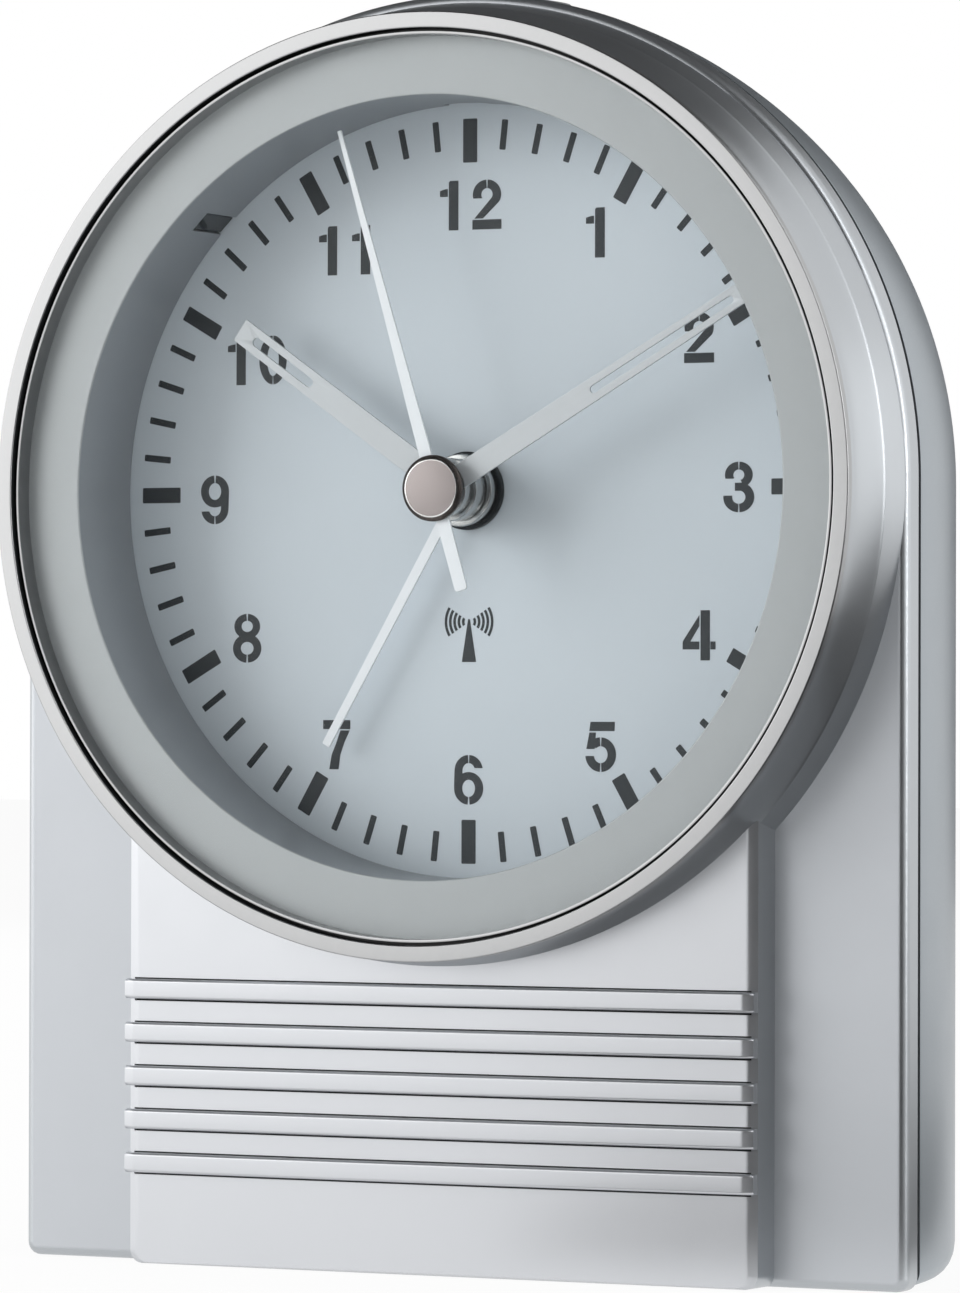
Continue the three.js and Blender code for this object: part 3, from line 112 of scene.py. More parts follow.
def turned(profile, steps=256):
    """A ring or disc turned about the dial axis, from (radius, depth) points that may have a rounding."""
    shape = bmesh.new()
    corners = [shape.verts.new((radius, depth, 0)) for radius, depth, *_ in profile]
    on_axis = profile[0][0] == 0
    for pair in zip(corners, corners[1:] + ([] if on_axis else corners[:1])):
        shape.edges.new(pair)
    round_corners(shape, corners, profile)
    bmesh.ops.spin(shape, geom=shape.verts[:] + shape.edges[:], cent=(0, 0, 0), axis=(0, 1, 0),
                   angle=2 * pi, steps=steps, use_merge=True)
    bmesh.ops.remove_doubles(shape, verts=shape.verts, dist=1e-4)
    bmesh.ops.recalc_face_normals(shape, faces=shape.faces)
    return shape


def moved(shape, x=0, depth=0, z=0, turn=0, axis="Y"):
    """The shape turned about an axis through the origin, in degrees, then shifted."""
    place = Matrix.Translation((x, depth, z)) @ Matrix.Rotation(radians(turn), 4, axis)
    bmesh.ops.transform(shape, matrix=place, verts=shape.verts)
    return shape


def softened(shape, width, steps=2, choose=lambda edge: True, angle=40):
    """The shape with its sharp edges rounded."""
    edges = [edge for edge in shape.edges
             if len(edge.link_faces) == 2 and edge.calc_face_angle(0) > radians(angle) and choose(edge)]
    bmesh.ops.bevel(shape, geom=edges, offset=width, offset_type="OFFSET", segments=steps, profile=0.5,
                    affect="EDGES", material=-1)
    return shape


def blank(shape, name="blank"):
    """A plain object of a shape, for a Boolean modifier to work on."""
    mesh = bpy.data.meshes.new(name)
    shape.to_mesh(mesh)
    shape.free()
    solid = bpy.data.objects.new(name, mesh)
    bpy.context.scene.collection.objects.link(solid)
    return solid


def worked(operation, shape, *others):
    """The shape joined to, cut by or kept inside the other shapes, one after the other."""
    solid = blank(shape)
    tools = [blank(other, "tool") for other in others]
    for tool in tools:
        step = solid.modifiers.new("work", "BOOLEAN")
        step.operation, step.object, step.solver = operation, tool, "EXACT"
    result = bmesh.new()
    result.from_object(solid, bpy.context.evaluated_depsgraph_get())
    for used in (solid, *tools):
        mesh = used.data
        bpy.data.objects.remove(used)
        bpy.data.meshes.remove(mesh)
    bmesh.ops.remove_doubles(result, verts=result.verts, dist=1e-4)
    return result


def joined(shape, *others):
    return worked("UNION", shape, *others)


def cut(shape, *others):
    return worked("DIFFERENCE", shape, *others)


class Value:
    """A socket of a material's nodes that takes part in arithmetic."""

    def __init__(self, finish, socket):
        self.finish, self.socket = finish, socket

    def math(self, operation, *values):
        sockets = dict(enumerate(values))
        return self.finish.node("ShaderNodeMath", {"operation": operation}, sockets)

    def __add__(self, other):
        return self.math("ADD", self, other)

    def __sub__(self, other):
        return self.math("SUBTRACT", self, other)

    def __rsub__(self, other):
        return self.math("SUBTRACT", other, self)

    def __mul__(self, other):
        return self.math("MULTIPLY", self, other)

    __radd__, __rmul__ = __add__, __mul__

    def limited(self):
        return self.finish.node("ShaderNodeClamp", {}, {"Value": self})


class Finish:
    """A material, or the world, with one call for each node of it."""

    def __init__(self, name, owner=None):
        self.material = owner or bpy.data.materials.new(name)
        self.material.use_nodes = True
        self.tree = self.material.node_tree
        self.tree.nodes.clear()

    def node(self, kind, settings, sockets, output=0):
        made = self.tree.nodes.new(kind)
        for name, value in settings.items():
            setattr(made, name, value)
        for key, value in sockets.items():
            if isinstance(key, int):
                socket = made.inputs[key]
            else:
                socket = next(s for s in made.inputs if s.enabled and s.name == key)
            if isinstance(value, Value):
                self.tree.links.new(value.socket, socket)
            elif isinstance(value, tuple) and len(value) == 3 and socket.type == "RGBA":
                socket.default_value = (*value, 1)
            else:
                socket.default_value = value
        outputs = [s for s in made.outputs if s.enabled]
        if isinstance(output, int):
            return Value(self, outputs[output])
        return Value(self, next(s for s in outputs if s.name == output))

    def place(self):
        return self.node("ShaderNodeTexCoord", {}, {}, "Object")

    def noise(self, scale, detail=2.0):
        """Grey noise about 0.5; the scale counts lumps in a metre."""
        sockets = {"Vector": self.place(), "Scale": scale, "Detail": detail}
        return self.node("ShaderNodeTexNoise", {}, sockets)

    def mixed(self, share, first, second):
        """A colour between two others."""
        return self.node("ShaderNodeMix", {"data_type": "RGBA"}, {"Factor": share, "A": first, "B": second})

    def bump(self, height, distance, strength=1.0):
        sockets = {"Height": height, "Distance": distance, "Strength": strength}
        return self.node("ShaderNodeBump", {}, sockets)

    def coated(self, **sockets):
        """Ends the material in the standard shader, with sockets named in words joined by lines."""
        named = {key.replace("_", " "): value for key, value in sockets.items()}
        return self.ended(self.node("ShaderNodeBsdfPrincipled", {}, named))

    def ended(self, shader, kind="ShaderNodeOutputMaterial"):
        """Joins the last shader to the output."""
        out = self.tree.nodes.new(kind)
        self.tree.links.new(shader.socket, out.inputs["Surface"])
        return self.material


def satin_paint(name, color, metallic=0.92, roughness=0.33, flake=0.05):
    """Silver paint on moulded plastic: fine flakes, faint clouds and a slight orange peel."""
    paint = Finish(name)
    flakes = paint.noise(5200, 1.0)
    clouds = paint.noise(190, 3.0)
    peel = paint.noise(900, 2.0)
    tone = (flakes - 0.5) * (2 * flake) + (clouds - 0.5) * 0.06 + 0.5
    darker, lighter = tuple(0.9 * c for c in color), tuple(min(1.1 * c, 1) for c in color)
    return paint.coated(
        Base_Color=paint.mixed(tone.limited(), darker, lighter), Metallic=metallic,
        Roughness=(clouds - 0.5) * 0.08 + (flakes - 0.5) * 0.1 + roughness,
        Normal=paint.bump(peel, 0.00001, 0.35), Coat_Weight=0.12, Coat_Roughness=0.2)


def moulded(name, color, roughness=0.5, grain=2600, depth=0.00002, metallic=0.0, spread=0.12):
    """Plain moulded or rolled stock: fine grain, slightly uneven colour and shine."""
    stock = Finish(name)
    fine, broad = stock.noise(grain, 2.0), stock.noise(230, 3.0)
    low, high = tuple((1 - spread) * c for c in color), tuple(min((1 + spread) * c, 1) for c in color)
    return stock.coated(
        Base_Color=stock.mixed(((fine + broad) * 0.5).limited(), low, high), Metallic=metallic,
        Roughness=(broad - 0.5) * 0.15 + roughness, Normal=stock.bump(fine, depth, 0.4))


def fitted(name, shape, materials, body, nodes=(), sharp=32, lift=0):
    """Makes the finished piece of a shape drawn in millimetres, with depths from the front of the bezel."""
    bmesh.ops.translate(shape, vec=(0, -case_depth / 2, lift), verts=shape.verts)
    bmesh.ops.scale(shape, vec=(0.001, 0.001, 0.001), verts=shape.verts)
    mesh = bpy.data.meshes.new(name)
    shape.to_mesh(mesh)
    shape.free()
    for material in materials:
        mesh.materials.append(material)
    mesh.shade_smooth()
    mesh.set_sharp_from_angle(angle=radians(sharp))
    piece = bpy.data.objects.new(name, mesh)
    bpy.context.scene.collection.objects.link(piece)
    even = piece.modifiers.new("even_shading", "WEIGHTED_NORMAL")
    even.keep_sharp = True
    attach(piece, body)
    if nodes:
        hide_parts(*nodes)


silver = satin_paint("silver_paint", (0.47, 0.493, 0.515))

panel = loft(arch, [(panel_front, 0, foot_corner, front_bottom),
                    (seam_face - seam_edge, 0, foot_corner, front_bottom),
                    (seam_face, seam_edge, foot_corner, front_bottom + seam_edge)])
panel = softened(panel, panel_edge, 7, lambda edge: all(v.co.y < panel_front + 0.1 for v in edge.verts))
lip_inset = 0.7
lip = loft(arch, [(seam + way, lip_inset, foot_corner, case_bottom + lip_inset) for way in (-1, 1)])
bore_radius = 38.5
drum = moved(turned([
    (43.3, 1.1), (44.3, 1.1, 0.1, 2), (44.55, 4.1, 2.0, 14), (45.5, 6.15, 0.05, 2), (45.64, 6.35, 0.05, 2),
    (46.3, panel_front), (46.3, 10.4), (bore_radius, 10.4), (bore_radius, 3.8), (43.3, 3.8)]), z=dial_z)


def post(x, depth, radius, bottom, top, steps=48, stretch=1.0):
    """An upright round bar, stretched along x."""
    shape = bmesh.new()
    bmesh.ops.create_cone(shape, cap_ends=True, segments=steps, radius1=radius, radius2=radius,
                          depth=top - bottom)
    bmesh.ops.scale(shape, vec=(stretch, 1, 1), verts=shape.verts)
    return moved(shape, x, depth, (bottom + top) / 2)


def bowed(shape, front):
    """The shape with its front dressed to a very shallow curve from side to side."""
    return worked("INTERSECT", shape, post(0, front + bow_radius, bow_radius, -10, 70, 2048))


def upright(shape, depth, half, bottom, top, corner=0):
    """The outline of the column or of a rib at one depth."""
    loop(shape, [(-half, bottom, corner, 6), (half, bottom, corner, 6), (half, top), (-half, top)], depth)


bow_radius = 1300
column_front = 5.3
column_top = 52.4
column_shoulder = 6.02
column = loft(upright, [(column_front - 0.1, 31.08, front_bottom + 0.3, column_top, foot_corner),
                        (column_shoulder, 33.07, front_bottom, column_top, foot_corner),
                        (10.4, 33.4, front_bottom, column_top, foot_corner)])
column = moved(bowed(column, column_front), 0.1)
rib_front = 4.3
first_rib = 9.84
rib_pitch = 4.19
rib_half = 0.95
channel_depth = 6.15
ribs, channels = [], []
for row in range(5):
    middle = first_rib + rib_pitch * row
    low, high = middle - rib_half, middle + rib_half
    rib = loft(upright, [(rib_front - 0.1, 30.98, low, high), (5.06, 33.11, low, high),
                         (6.4, 33.11, low, high)])
    ribs.append(softened(bowed(rib, rib_front), 0.3, 4, lambda edge: any(v.co.y < 5 for v in edge.verts)))
    channels.append(block(-32.4, 32.6, 4, channel_depth, middle - 1.16, middle + 1.08))
bore = moved(turned([(0, 2.9), (bore_radius, 2.9), (bore_radius, 14), (0, 14)]), z=dial_z)
column_hollow = block(-30.6, 30.6, column_front + wall, 14, case_bottom + wall, 60)
panel_hollow = loft(arch, [(depth, wall, foot_corner, case_bottom + wall)
                           for depth in (panel_front + wall, 14)])
inner_tube = moved(turned([(bore_radius, 3.8), (40.5, 3.8), (40.5, 12.4), (bore_radius, 12.4)]), z=dial_z)
column = cut(column, *channels)
shell = cut(joined(panel, lip, column, *ribs), column_hollow, panel_hollow, bore)
shell = joined(shell, drum, inner_tube)
# A lighter copy of the silver paint for the column's front and sides: painted light, so that the column
# shows brighter than the panel around it.
column_lit_silver = satin_paint("column_painted_light", (0.56, 0.575, 0.6))
panel_silver = satin_paint("panel_paint", (0.49, 0.512, 0.54), 0.62, 0.42)
# Near-black paint for the seam faces and the floors of the rib channels: painted shade for the dark seam
# line and the dark lines along the ribs.
shade = moulded("painted_seam_shade", (0.012, 0.013, 0.014), 0.6)
for face in shell.faces:
    middle = face.calc_center_median()
    off_drum = sqrt(middle.x ** 2 + (middle.z - dial_z) ** 2) > 45.72
    facing_front = face.normal.y < -0.95 and middle.y > 3
    in_column = abs(middle.x) < 33.2 and middle.y < column_shoulder and middle.z < column_top + 0.1
    in_channel = abs(middle.x) < 34 and abs(middle.y - channel_depth) < 0.05 and middle.z < 30
    if middle.y > seam_face - 0.02 or in_channel:
        face.material_index = 2
    elif facing_front and middle.y > panel_front - 0.3:
        face.material_index = 3
    else:
        face.material_index = int(in_column and (facing_front or off_drum))
fitted("front_case", shell, [silver, column_lit_silver, shade, panel_silver], "case",
       ["front_shell"])

# Rear case. A deep domed moulding in a darker silver paint, with a sunken bay for the controls, the
# battery bay, sound slots over the buzzer, screw wells and a pocket for each foot.
dome_start = 10
dome_depth = 33.56
dome_inset = 17.651
dome_steps = 26
back_inner = case_depth - wall
back_edge = 1
past_back = 45
door = {"half": 29.3, "bottom": 10.6, "top": 42.6, "front": 41.2}
bay = {"half": 25, "bottom": 62, "top": 88, "floor": 39.4}
tray = {"half": 28.3, "bottom": 11.6, "top": 41.6, "floor": 26.4}
screw_reach, screw_angle = 41.3, radians(62)
upper_screw = (screw_reach * sin(screw_angle), dial_z + screw_reach * cos(screw_angle))
screws = [(side * x, z) for side in (-1, 1) for x, z in (upper_screw, (25, 5.8))]
feet = [(side * x, depth) for side in (-1, 1) for x, depth in ((36, 19), (27, 36))]
key_places = [("set", 4), ("receive", 11), ("reset", 18)]
key_z = 69
knob_x = -10
slide_x = 11
slide_z = 80.5
snooze_depth = 19
snooze_wide, snooze_deep, snooze_gap = 7.7, 4.5, 0.3


def drawn_in(depth, thickness=0):
    """How far the dome has drawn in at a depth."""
    reach = max(depth - dome_start, 0) / (dome_depth - thickness)
    return thickness + (dome_inset - thickness) * (1 - sqrt(max(1 - reach * reach, 0)))


def dome_depths(first, last, steps):
    """Depths at even steps of the dome's curve."""
    start, end = (asin((depth - dome_start) / dome_depth) for depth in (first, last))
    return [dome_start + dome_depth * sin(start + (end - start) * i / steps) for i in range(steps + 1)]


def rod(x, z, radius, front, back, steps=48):
    """A round bar that runs from front to back."""
    shape = bmesh.new()
    bmesh.ops.create_cone(shape, cap_ends=True, segments=steps, radius1=radius, radius2=radius,
                          depth=back - front)
    return moved(moved(shape, turn=90, axis="X"), x, (front + back) / 2, z)


rear_face = seam + 0.26
corner_growth = 0.5
dome_rings = [(rear_face, seam_edge, foot_corner, case_bottom + seam_edge)]
for depth in dome_depths(rear_face + seam_edge, case_depth, dome_steps):
    inset = drawn_in(depth)
    to_back = min(case_depth - depth, back_edge)
    lift = back_edge - sqrt(back_edge ** 2 - (back_edge - to_back) ** 2)
    dome_rings.append((depth, inset, foot_corner + corner_growth * inset, case_bottom + lift))
hollow_rings = [
    (depth, drawn_in(depth, wall), foot_corner + corner_growth * drawn_in(depth), case_bottom + wall)
    for depth in dome_depths(seam, back_inner, 12)]
hollow_rings[0] = (seam - 1, *hollow_rings[0][1:])
lip_room = loft(arch, [(depth, 1, foot_corner, case_bottom + 1) for depth in (seam - 1, seam + 1.3)])
dome = cut(loft(arch, dome_rings), loft(arch, hollow_rings), lip_room)


def pocket(place, front, back, margin=0.0):
    """A box over one of the places of the back, larger by a margin on its four sides."""
    return block(-place["half"] - margin, place["half"] + margin, front, back,
                 place["bottom"] - margin, place["top"] + margin)


def front_to_back(edge):
    return abs(edge.verts[0].co.y - edge.verts[1].co.y) > 1


def at_rim(edge):
    return all(v.co.y > case_depth - 0.05 for v in edge.verts)


tray_wall = 1.5
walls = [
    pocket(tray, tray["floor"] - tray_wall, back_inner + 0.5, tray_wall),
    pocket(bay, bay["floor"] - wall, back_inner + 0.5, wall),
    *[worked("INTERSECT", rod(x, z, 4.2, 16.9, 42.5), loft(arch, dome_rings)) for x, z in screws],
]
through_bay = (36, 40)
openings = [
    softened(pocket(tray, tray["floor"], past_back), 0.8, 3),
    softened(pocket(door, door["front"] - 0.1, past_back, 0.2), 0.8, 4, front_to_back),
    softened(pocket(bay, bay["floor"], past_back), 1.6, 6,
             lambda edge: sum(v.co.y > past_back - 1 for v in edge.verts) < 2),
    *[rod(x, z, 2.8, 18.9, past_back) for x, z in screws],
    *[rod(x, z, 1.8, 15, 20) for x, z in screws],
    rod(knob_x, dial_z, 1.8, *through_bay),
    *[rod(x, key_z, 2.6, *through_bay) for _, x in key_places],
    block(slide_x - 4.3, slide_x + 4.3, *through_bay, slide_z - 1.8, slide_z + 1.8),
    *[softened(block(x - 0.6, x + 0.6, 36, past_back, 93, 101), 0.55, 4, front_to_back) for x in (-3, 0, 3)],
    post(0, snooze_depth, snooze_deep + snooze_gap, 117, 125, 96,
         (snooze_wide + snooze_gap) / (snooze_deep + snooze_gap)),
    *[post(x, depth, 4.1, -1, 1.3) for x, depth in feet],
]
back = cut(joined(dome, *walls), *openings)
rear_silver = satin_paint("rear_paint", (0.345, 0.38, 0.41), 0.8, 0.36)
fitted("rear_case", softened(back, 0.25, 3, at_rim, 50), [rear_silver], "case", ["rear_shell"])

# Bezel. A plated ring with a rounded rim, a groove with a fine ridge in it, painted black as shade, and a
# lip that holds the window. It snaps into the front of the drum.
plating = Finish("plating")
streaks = plating.noise(900, 2.0)
chrome = plating.coated(
    Base_Color=plating.mixed(streaks, (0.4, 0.405, 0.41), (0.44, 0.445, 0.45)), Metallic=1.0,
    Roughness=(streaks - 0.5) * 0.06 + 0.3, Normal=plating.bump(plating.noise(1400), 0.000004, 0.3))
black = moulded("black_plastic", (0.01, 0.011, 0.012), 0.45)
bezel = turned([
    (44.6, 0.95, 0.08, 2), (44.6, 0, 0.14, 4), (43.08, 0, 0.12, 4), (43.08, 1.5), (42.8, 1.5),
    (42.8, 0.5, 0.04, 2), (42.5, 0.5, 0.06, 2), (42.5, 3.7), (43.25, 3.7), (43.25, 0.95)])
# The groove's faces get the black plastic: painted shade for the dark groove in the plated ring.
for face in bezel.faces:
    middle = face.calc_center_median()
    face.material_index = int(middle.y > 0.3 and 42.77 < sqrt(middle.x ** 2 + middle.z ** 2) < 43.2)
fitted("bezel", bezel, [chrome, black], "case", ["bezel_ring"], lift=dial_z)

# Window. A flat disc of clear polished plastic with a faint haze from wiping. It sits in the bezel's
# recess, in front of the dial surround.
clear = Finish("clear_window")
gloss = clear.node("ShaderNodeBsdfGlossy", {}, {"Color": (1.0, 1.0, 1.0), "Roughness": 0.14})
through = clear.node("ShaderNodeBsdfTransparent", {}, {"Color": (0.985, 0.99, 0.99)})
wipe = clear.noise(120, 2.0)
facing = clear.node("ShaderNodeFresnel", {}, {"IOR": 1.25})
clear.ended(clear.node("ShaderNodeMixShader", {}, {0: facing * (0.1 + wipe * 0.06), 1: through, 2: gloss}))
seat_radius = 42.75
window = turned([(0, 1.4), (seat_radius, 1.4), (seat_radius, 2.4), (0, 2.4)])
fitted("window_disc", window, [clear.material], "case", ["lens"], lift=dial_z)

# Dial surround. A moulded ring in grey paint behind the window, whose deep wall leads down to the dial. It
# has an opening for each of the three dial lights.
surround_paint = satin_paint("surround_paint", (0.38, 0.4, 0.41), 0.35, 0.42, 0.03)
surround = turned([(37, 2.5, 0.15, 3), (seat_radius, 2.5), (seat_radius, 3.6), (38.2, 3.6), (38.2, 12.8),
                   (37, 12.8)])
lights = [(-45, 2.3, 7), (0, 4.4, 11.6), (45, 2.3, 7)]
slots = [moved(block(-width / 2, width / 2, front, 14, 36, 39), turn=angle)
         for angle, width, front in lights]
surround = cut(surround, *slots)
# The deep wall gets a darker copy of the surround paint: painted shade for the shade inside the deep well.
well_painted_shade = satin_paint("well_painted_shade", (0.27, 0.29, 0.31), 0.2, 0.45, 0.03)
for face in surround.faces:
    face.material_index = int(face.calc_center_median().y > 2.7)
fitted("surround", surround, [surround_paint, well_painted_shade], "case", ["dial_surround"],
       lift=dial_z)


def dressed(material, *names):
    """Gives CAD pieces whose shape is right their finish."""
    for name in names:
        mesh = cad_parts[name].data
        mesh.materials.clear()
        mesh.materials.append(material)


# The two side light guides get a dark colour, painted shade for their dark openings, and the top one a pale
# colour, painted light for its bright opening.
guide = moulded("side_guide_painted_shade", (0.025, 0.03, 0.034), 0.12, 900)
dressed(guide, "dial_light_left", "dial_light_right")
dressed(moulded("top_guide_painted_light", (0.55, 0.6, 0.64), 0.3, 900), "dial_light_top")

# Dial. A sheet-metal disc on a moulded carrier, printed pale blue grey, with marks, stencil numerals and a
# radio mast in dark grey ink.
dial_front = 12.9
ink_height = 0.02
card = Finish("dial_print")
fleck, haze = card.noise(3800, 1.0), card.noise(60, 2.0)
dial_finish = card.coated(
    Base_Color=card.mixed(((fleck - 0.5) * 0.3 + haze).limited(), (0.53, 0.585, 0.63), (0.57, 0.625, 0.67)),
    Roughness=(fleck - 0.5) * 0.1 + 0.5, Metallic=0.0, Normal=card.bump(fleck, 0.000005, 0.3))
dressed(dial_finish, "dial")
ink = moulded("dial_ink", (0.02, 0.026, 0.031), 0.5, 3000, 0.000004, 0.0, 0.15)


def gathered(*shapes):
    """Several shapes side by side in one mesh."""
    whole = bmesh.new()
    for shape in shapes:
        part = bpy.data.meshes.new("part")
        shape.to_mesh(part)
        shape.free()
        whole.from_mesh(part)
        bpy.data.meshes.remove(part)
    return whole


def patch(*points):
    """A flat patch with straight sides."""
    shape = bmesh.new()
    shape.faces.new([shape.verts.new((x, 0, z)) for x, z in points])
    return shape


def arc(outer, inner, start, end, x=0, z=0, steps=26, level=None):
    """A flat arc between two ovals, in degrees against the clock from three; level cuts its end flat."""
    shape = bmesh.new()
    turn = Matrix.Rotation(radians(-start), 3, "Y")
    for half_x, half_z in (outer, inner):
        known = set(shape.verts)
        first = shape.verts.new(turn @ Vector((1, 0, 0)))
        bmesh.ops.spin(shape, geom=[first], cent=(0, 0, 0), axis=(0, -1, 0), angle=radians(end - start),
                       steps=steps)
        chain = [v for v in shape.verts if v not in known]
        bmesh.ops.scale(shape, vec=(half_x, 1, half_z), verts=chain)
    bmesh.ops.bridge_loops(shape, edges=shape.edges)
    if level:
        height, above = level
        bmesh.ops.bisect_plane(shape, geom=shape.verts[:] + shape.edges[:] + shape.faces[:],
                               plane_co=(0, 0, height - z), plane_no=(0, 0, 1),
                               clear_inner=above, clear_outer=not above)
    return moved(shape, x, 0, z)


def printed(shape):
    """A flat shape as a layer of ink on the dial."""
    grown = bmesh.ops.extrude_face_region(shape, geom=shape.faces[:])
    new = [v for v in grown["geom"] if isinstance(v, bmesh.types.BMVert)]
    bmesh.ops.translate(shape, vec=(0, -ink_height, 0), verts=new)
    bmesh.ops.translate(shape, vec=(0, dial_front, 0), verts=shape.verts)
    bmesh.ops.recalc_face_normals(shape, faces=shape.faces)
    return shape


marks = []
hour_mark, minute_mark = (1.5, 31.42, 35.62), (0.65, 32.7, 35.6)
for minute in range(60):
    width, inner, outer = minute_mark if minute % 5 else hour_mark
    mark = patch((-width / 2, inner), (width / 2, inner), (width / 2, outer), (-width / 2, outer))
    bmesh.ops.bevel(mark, geom=mark.verts[:], offset=0.1, offset_type="OFFSET", segments=3, profile=0.5,
                    affect="VERTICES", material=-1)
    marks.append(moved(mark, turn=6 * minute))
fitted("dial_marks", printed(gathered(*marks)), [ink], "case", lift=dial_z)

stem = [(-0.36, 2.375), (0.51, 2.375), (0.51, -2.375), (-0.51, -2.375), (-0.51, 2.22)]
flag = [(-1.46, 1.44), (-0.86, 1.6), (-0.62, 1.6), (-0.62, 0.86), (-1.46, 0.86)]


def digit(name):
    """The pieces of a stencil numeral 4.75 mm high, centred on its own middle."""
    if name == "0":
        return [arc((1.5, 2.375), (0.64, 1.56), a, b) for a, b in ((92, 268), (-88, 88))]
    if name == "1":
        return [patch(*stem), patch(*flag)]
    if name == "2":
        return [arc((1.5, 1.42), (0.6, 0.6), 93, 215, 0, 0.955, level=(0.6, True)),
                arc((1.5, 1.42), (0.6, 0.6), -30, 87, 0, 0.955),
                patch((0.52, 0.655), (1.3, 0.245), (-0.42, -1.33), (-1.34, -1.33)),
                patch((-1.54, -1.44), (1.54, -1.44), (1.54, -2.375), (-1.54, -2.375))]
    if name == "3":
        return [arc((1.42, 1.24), (0.56, 0.5), 93, 215, 0, 1.135, level=(0.78, True)),
                arc((1.42, 1.24), (0.56, 0.5), -70, 87, 0, 1.135),
                patch((-0.4, 0.4), (0.45, 0.4), (0.75, 0.02), (0.45, -0.36), (-0.4, -0.36)),
                arc((1.58, 1.42), (0.68, 0.62), -87, 70, 0, -0.955),
                arc((1.58, 1.42), (0.68, 0.62), 150, 267, 0, -0.955, level=(-0.8, False))]
    if name == "4":
        return [patch((0.04, 1.94), (0.04, 0.9), (-0.88, -0.56), (-1.68, -0.56)),
                patch((-1.68, -0.56), (0.04, -0.56), (0.04, -1.31), (-1.68, -1.31)),
                patch((0.16, 2.375), (1.12, 2.375), (1.12, -2.34), (0.16, -2.34)),
                patch((1.18, -0.56), (1.7, -0.56), (1.7, -1.31), (1.18, -1.31))]
    if name == "5":
        return [patch((-1.06, 2.375), (1.48, 2.375), (1.44, 1.5), (-1.2, 1.5)),
                patch((-1.18, 1.36), (-0.5, 1.36), (-0.62, -0.2), (-1.5, -0.2)),
                arc((1.6, 1.64), (0.72, 0.8), -87, 87, 0, -0.735),
                arc((1.6, 1.64), (0.72, 0.8), 93, 132, 0, -0.735),
                arc((1.6, 1.64), (0.72, 0.8), 150, 267, 0, -0.735, level=(-0.86, False))]
    if name in "69":
        ring = [arc((1.55, 1.56), (0.68, 0.82), -86, 266, 0, -0.815, 52),
                arc((1.5, 1.5), (0.66, 0.72), 93, 186, 0, 0.875),
                arc((1.5, 1.5), (0.66, 0.72), -20, 87, 0, 0.875, level=(1.12, True)),
                patch((-1.5, 0.9), (-0.66, 0.9), (-0.68, -0.7), (-1.55, -0.7))]
        return ring if name == "6" else [moved(part, turn=180) for part in ring]
    if name == "7":
        return [patch((-1.46, 2.375), (1.48, 2.375), (1.48, 1.5), (-1.46, 1.5)),
                patch((0.42, 1.38), (1.42, 1.38), (0.86, 0.25), (-0.06, 0.1)),
                patch((-0.06, 0.1), (0.86, 0.25), (0.42, -0.95), (-0.52, -0.95)),
                patch((-0.52, -0.95), (0.42, -0.95), (0.22, -2.375), (-0.78, -2.375))]
    return [arc((1.42, 1.22), (0.62, 0.54), 94, 446, 0, 1.155, 52),
            arc((1.56, 1.4), (0.7, 0.62), -86, 266, 0, -0.975, 52)]


numerals = [("1", 13.7, 24.3), ("2", 24.0, 14.1), ("3", 28.1, 0.0), ("4", 24.05, -13.9), ("5", 13.9, -24.4),
            ("6", 0.0, -27.6), ("7", -14.2, -24.3), ("8", -24.0, -14.0), ("9", -27.6, -0.5),
            ("10", -23.0, 13.0), ("11", -13.5, 23.4), ("12", 0.0, 27.35)]
pair_offsets = {"10": (-1.75, 1.75), "11": (-1.29, 2.29), "12": (-1.75, 1.8)}
# The overlapping parts of a numeral lie this far apart, so that no two of their faces coincide.
layer_step = -0.002
glyphs = []
for word, x, z in numerals:
    for sign, shift in zip(word, pair_offsets.get(word, (0,))):
        glyphs += [moved(part, x + shift, layer_step * layer, z) for layer, part in enumerate(digit(sign))]
fitted("dial_numerals", printed(gathered(*glyphs)), [ink], "case", lift=dial_z)

mast = [patch((-0.76, -16.35), (0.76, -16.35), (0.1, -12.25), (-0.1, -12.25))]
arc_half = 0.135
for ring in range(5):
    outer, inner = (0.62 + 0.46 * ring + way * arc_half for way in (1, -1))
    for side in (0, 180):
        mast.append(arc((outer, outer), (inner, inner), side - 33, side + 33, 0, -12.5, 12))
fitted("dial_mast", printed(gathered(*mast)), [ink], "case", lift=dial_z)

# Hands. Stamped aluminium blades riveted to turned collars and pressed on the nested tubes of the
# movement: the hour and minute hands matt grey with a slot, the second and alarm hands white.
matt_grey = moulded("matt_hand_paint", (0.5, 0.525, 0.545), 0.46, 4200, 0.000006, 0.35, 0.05)
white = moulded("white_hand_paint", (0.76, 0.79, 0.82), 0.42, 4200, 0.000004, 0.0, 0.04)
collar_metal = moulded("collar_metal", (0.5, 0.51, 0.51), 0.22, 2600, 0.000006, 0.9, 0.08)
blade_thickness = 0.25


def blade(points, depth, slot=None):
    """A flat blade through (x, z, radius, steps) points, with a slot of (half width, low, high)."""
    shape = bmesh.new()
    loop(shape, points)
    if slot:
        half, low, high = slot
        loop(shape, [(-half, low, half, 6), (half, low, half, 6), (half, high, half, 6),
                     (-half, high, half, 6)])
        bmesh.ops.remove_doubles(shape, verts=shape.verts, dist=1e-3)
    bmesh.ops.triangle_fill(shape, edges=shape.edges[:], use_beauty=True, use_dissolve=False)
    grown = bmesh.ops.extrude_face_region(shape, geom=shape.faces[:])
    new = [v for v in grown["geom"] if isinstance(v, bmesh.types.BMVert)]
    bmesh.ops.translate(shape, vec=(0, blade_thickness, 0), verts=new)
    bmesh.ops.translate(shape, vec=(0, depth, 0), verts=shape.verts)
    bmesh.ops.recalc_face_normals(shape, faces=shape.faces)
    return shape


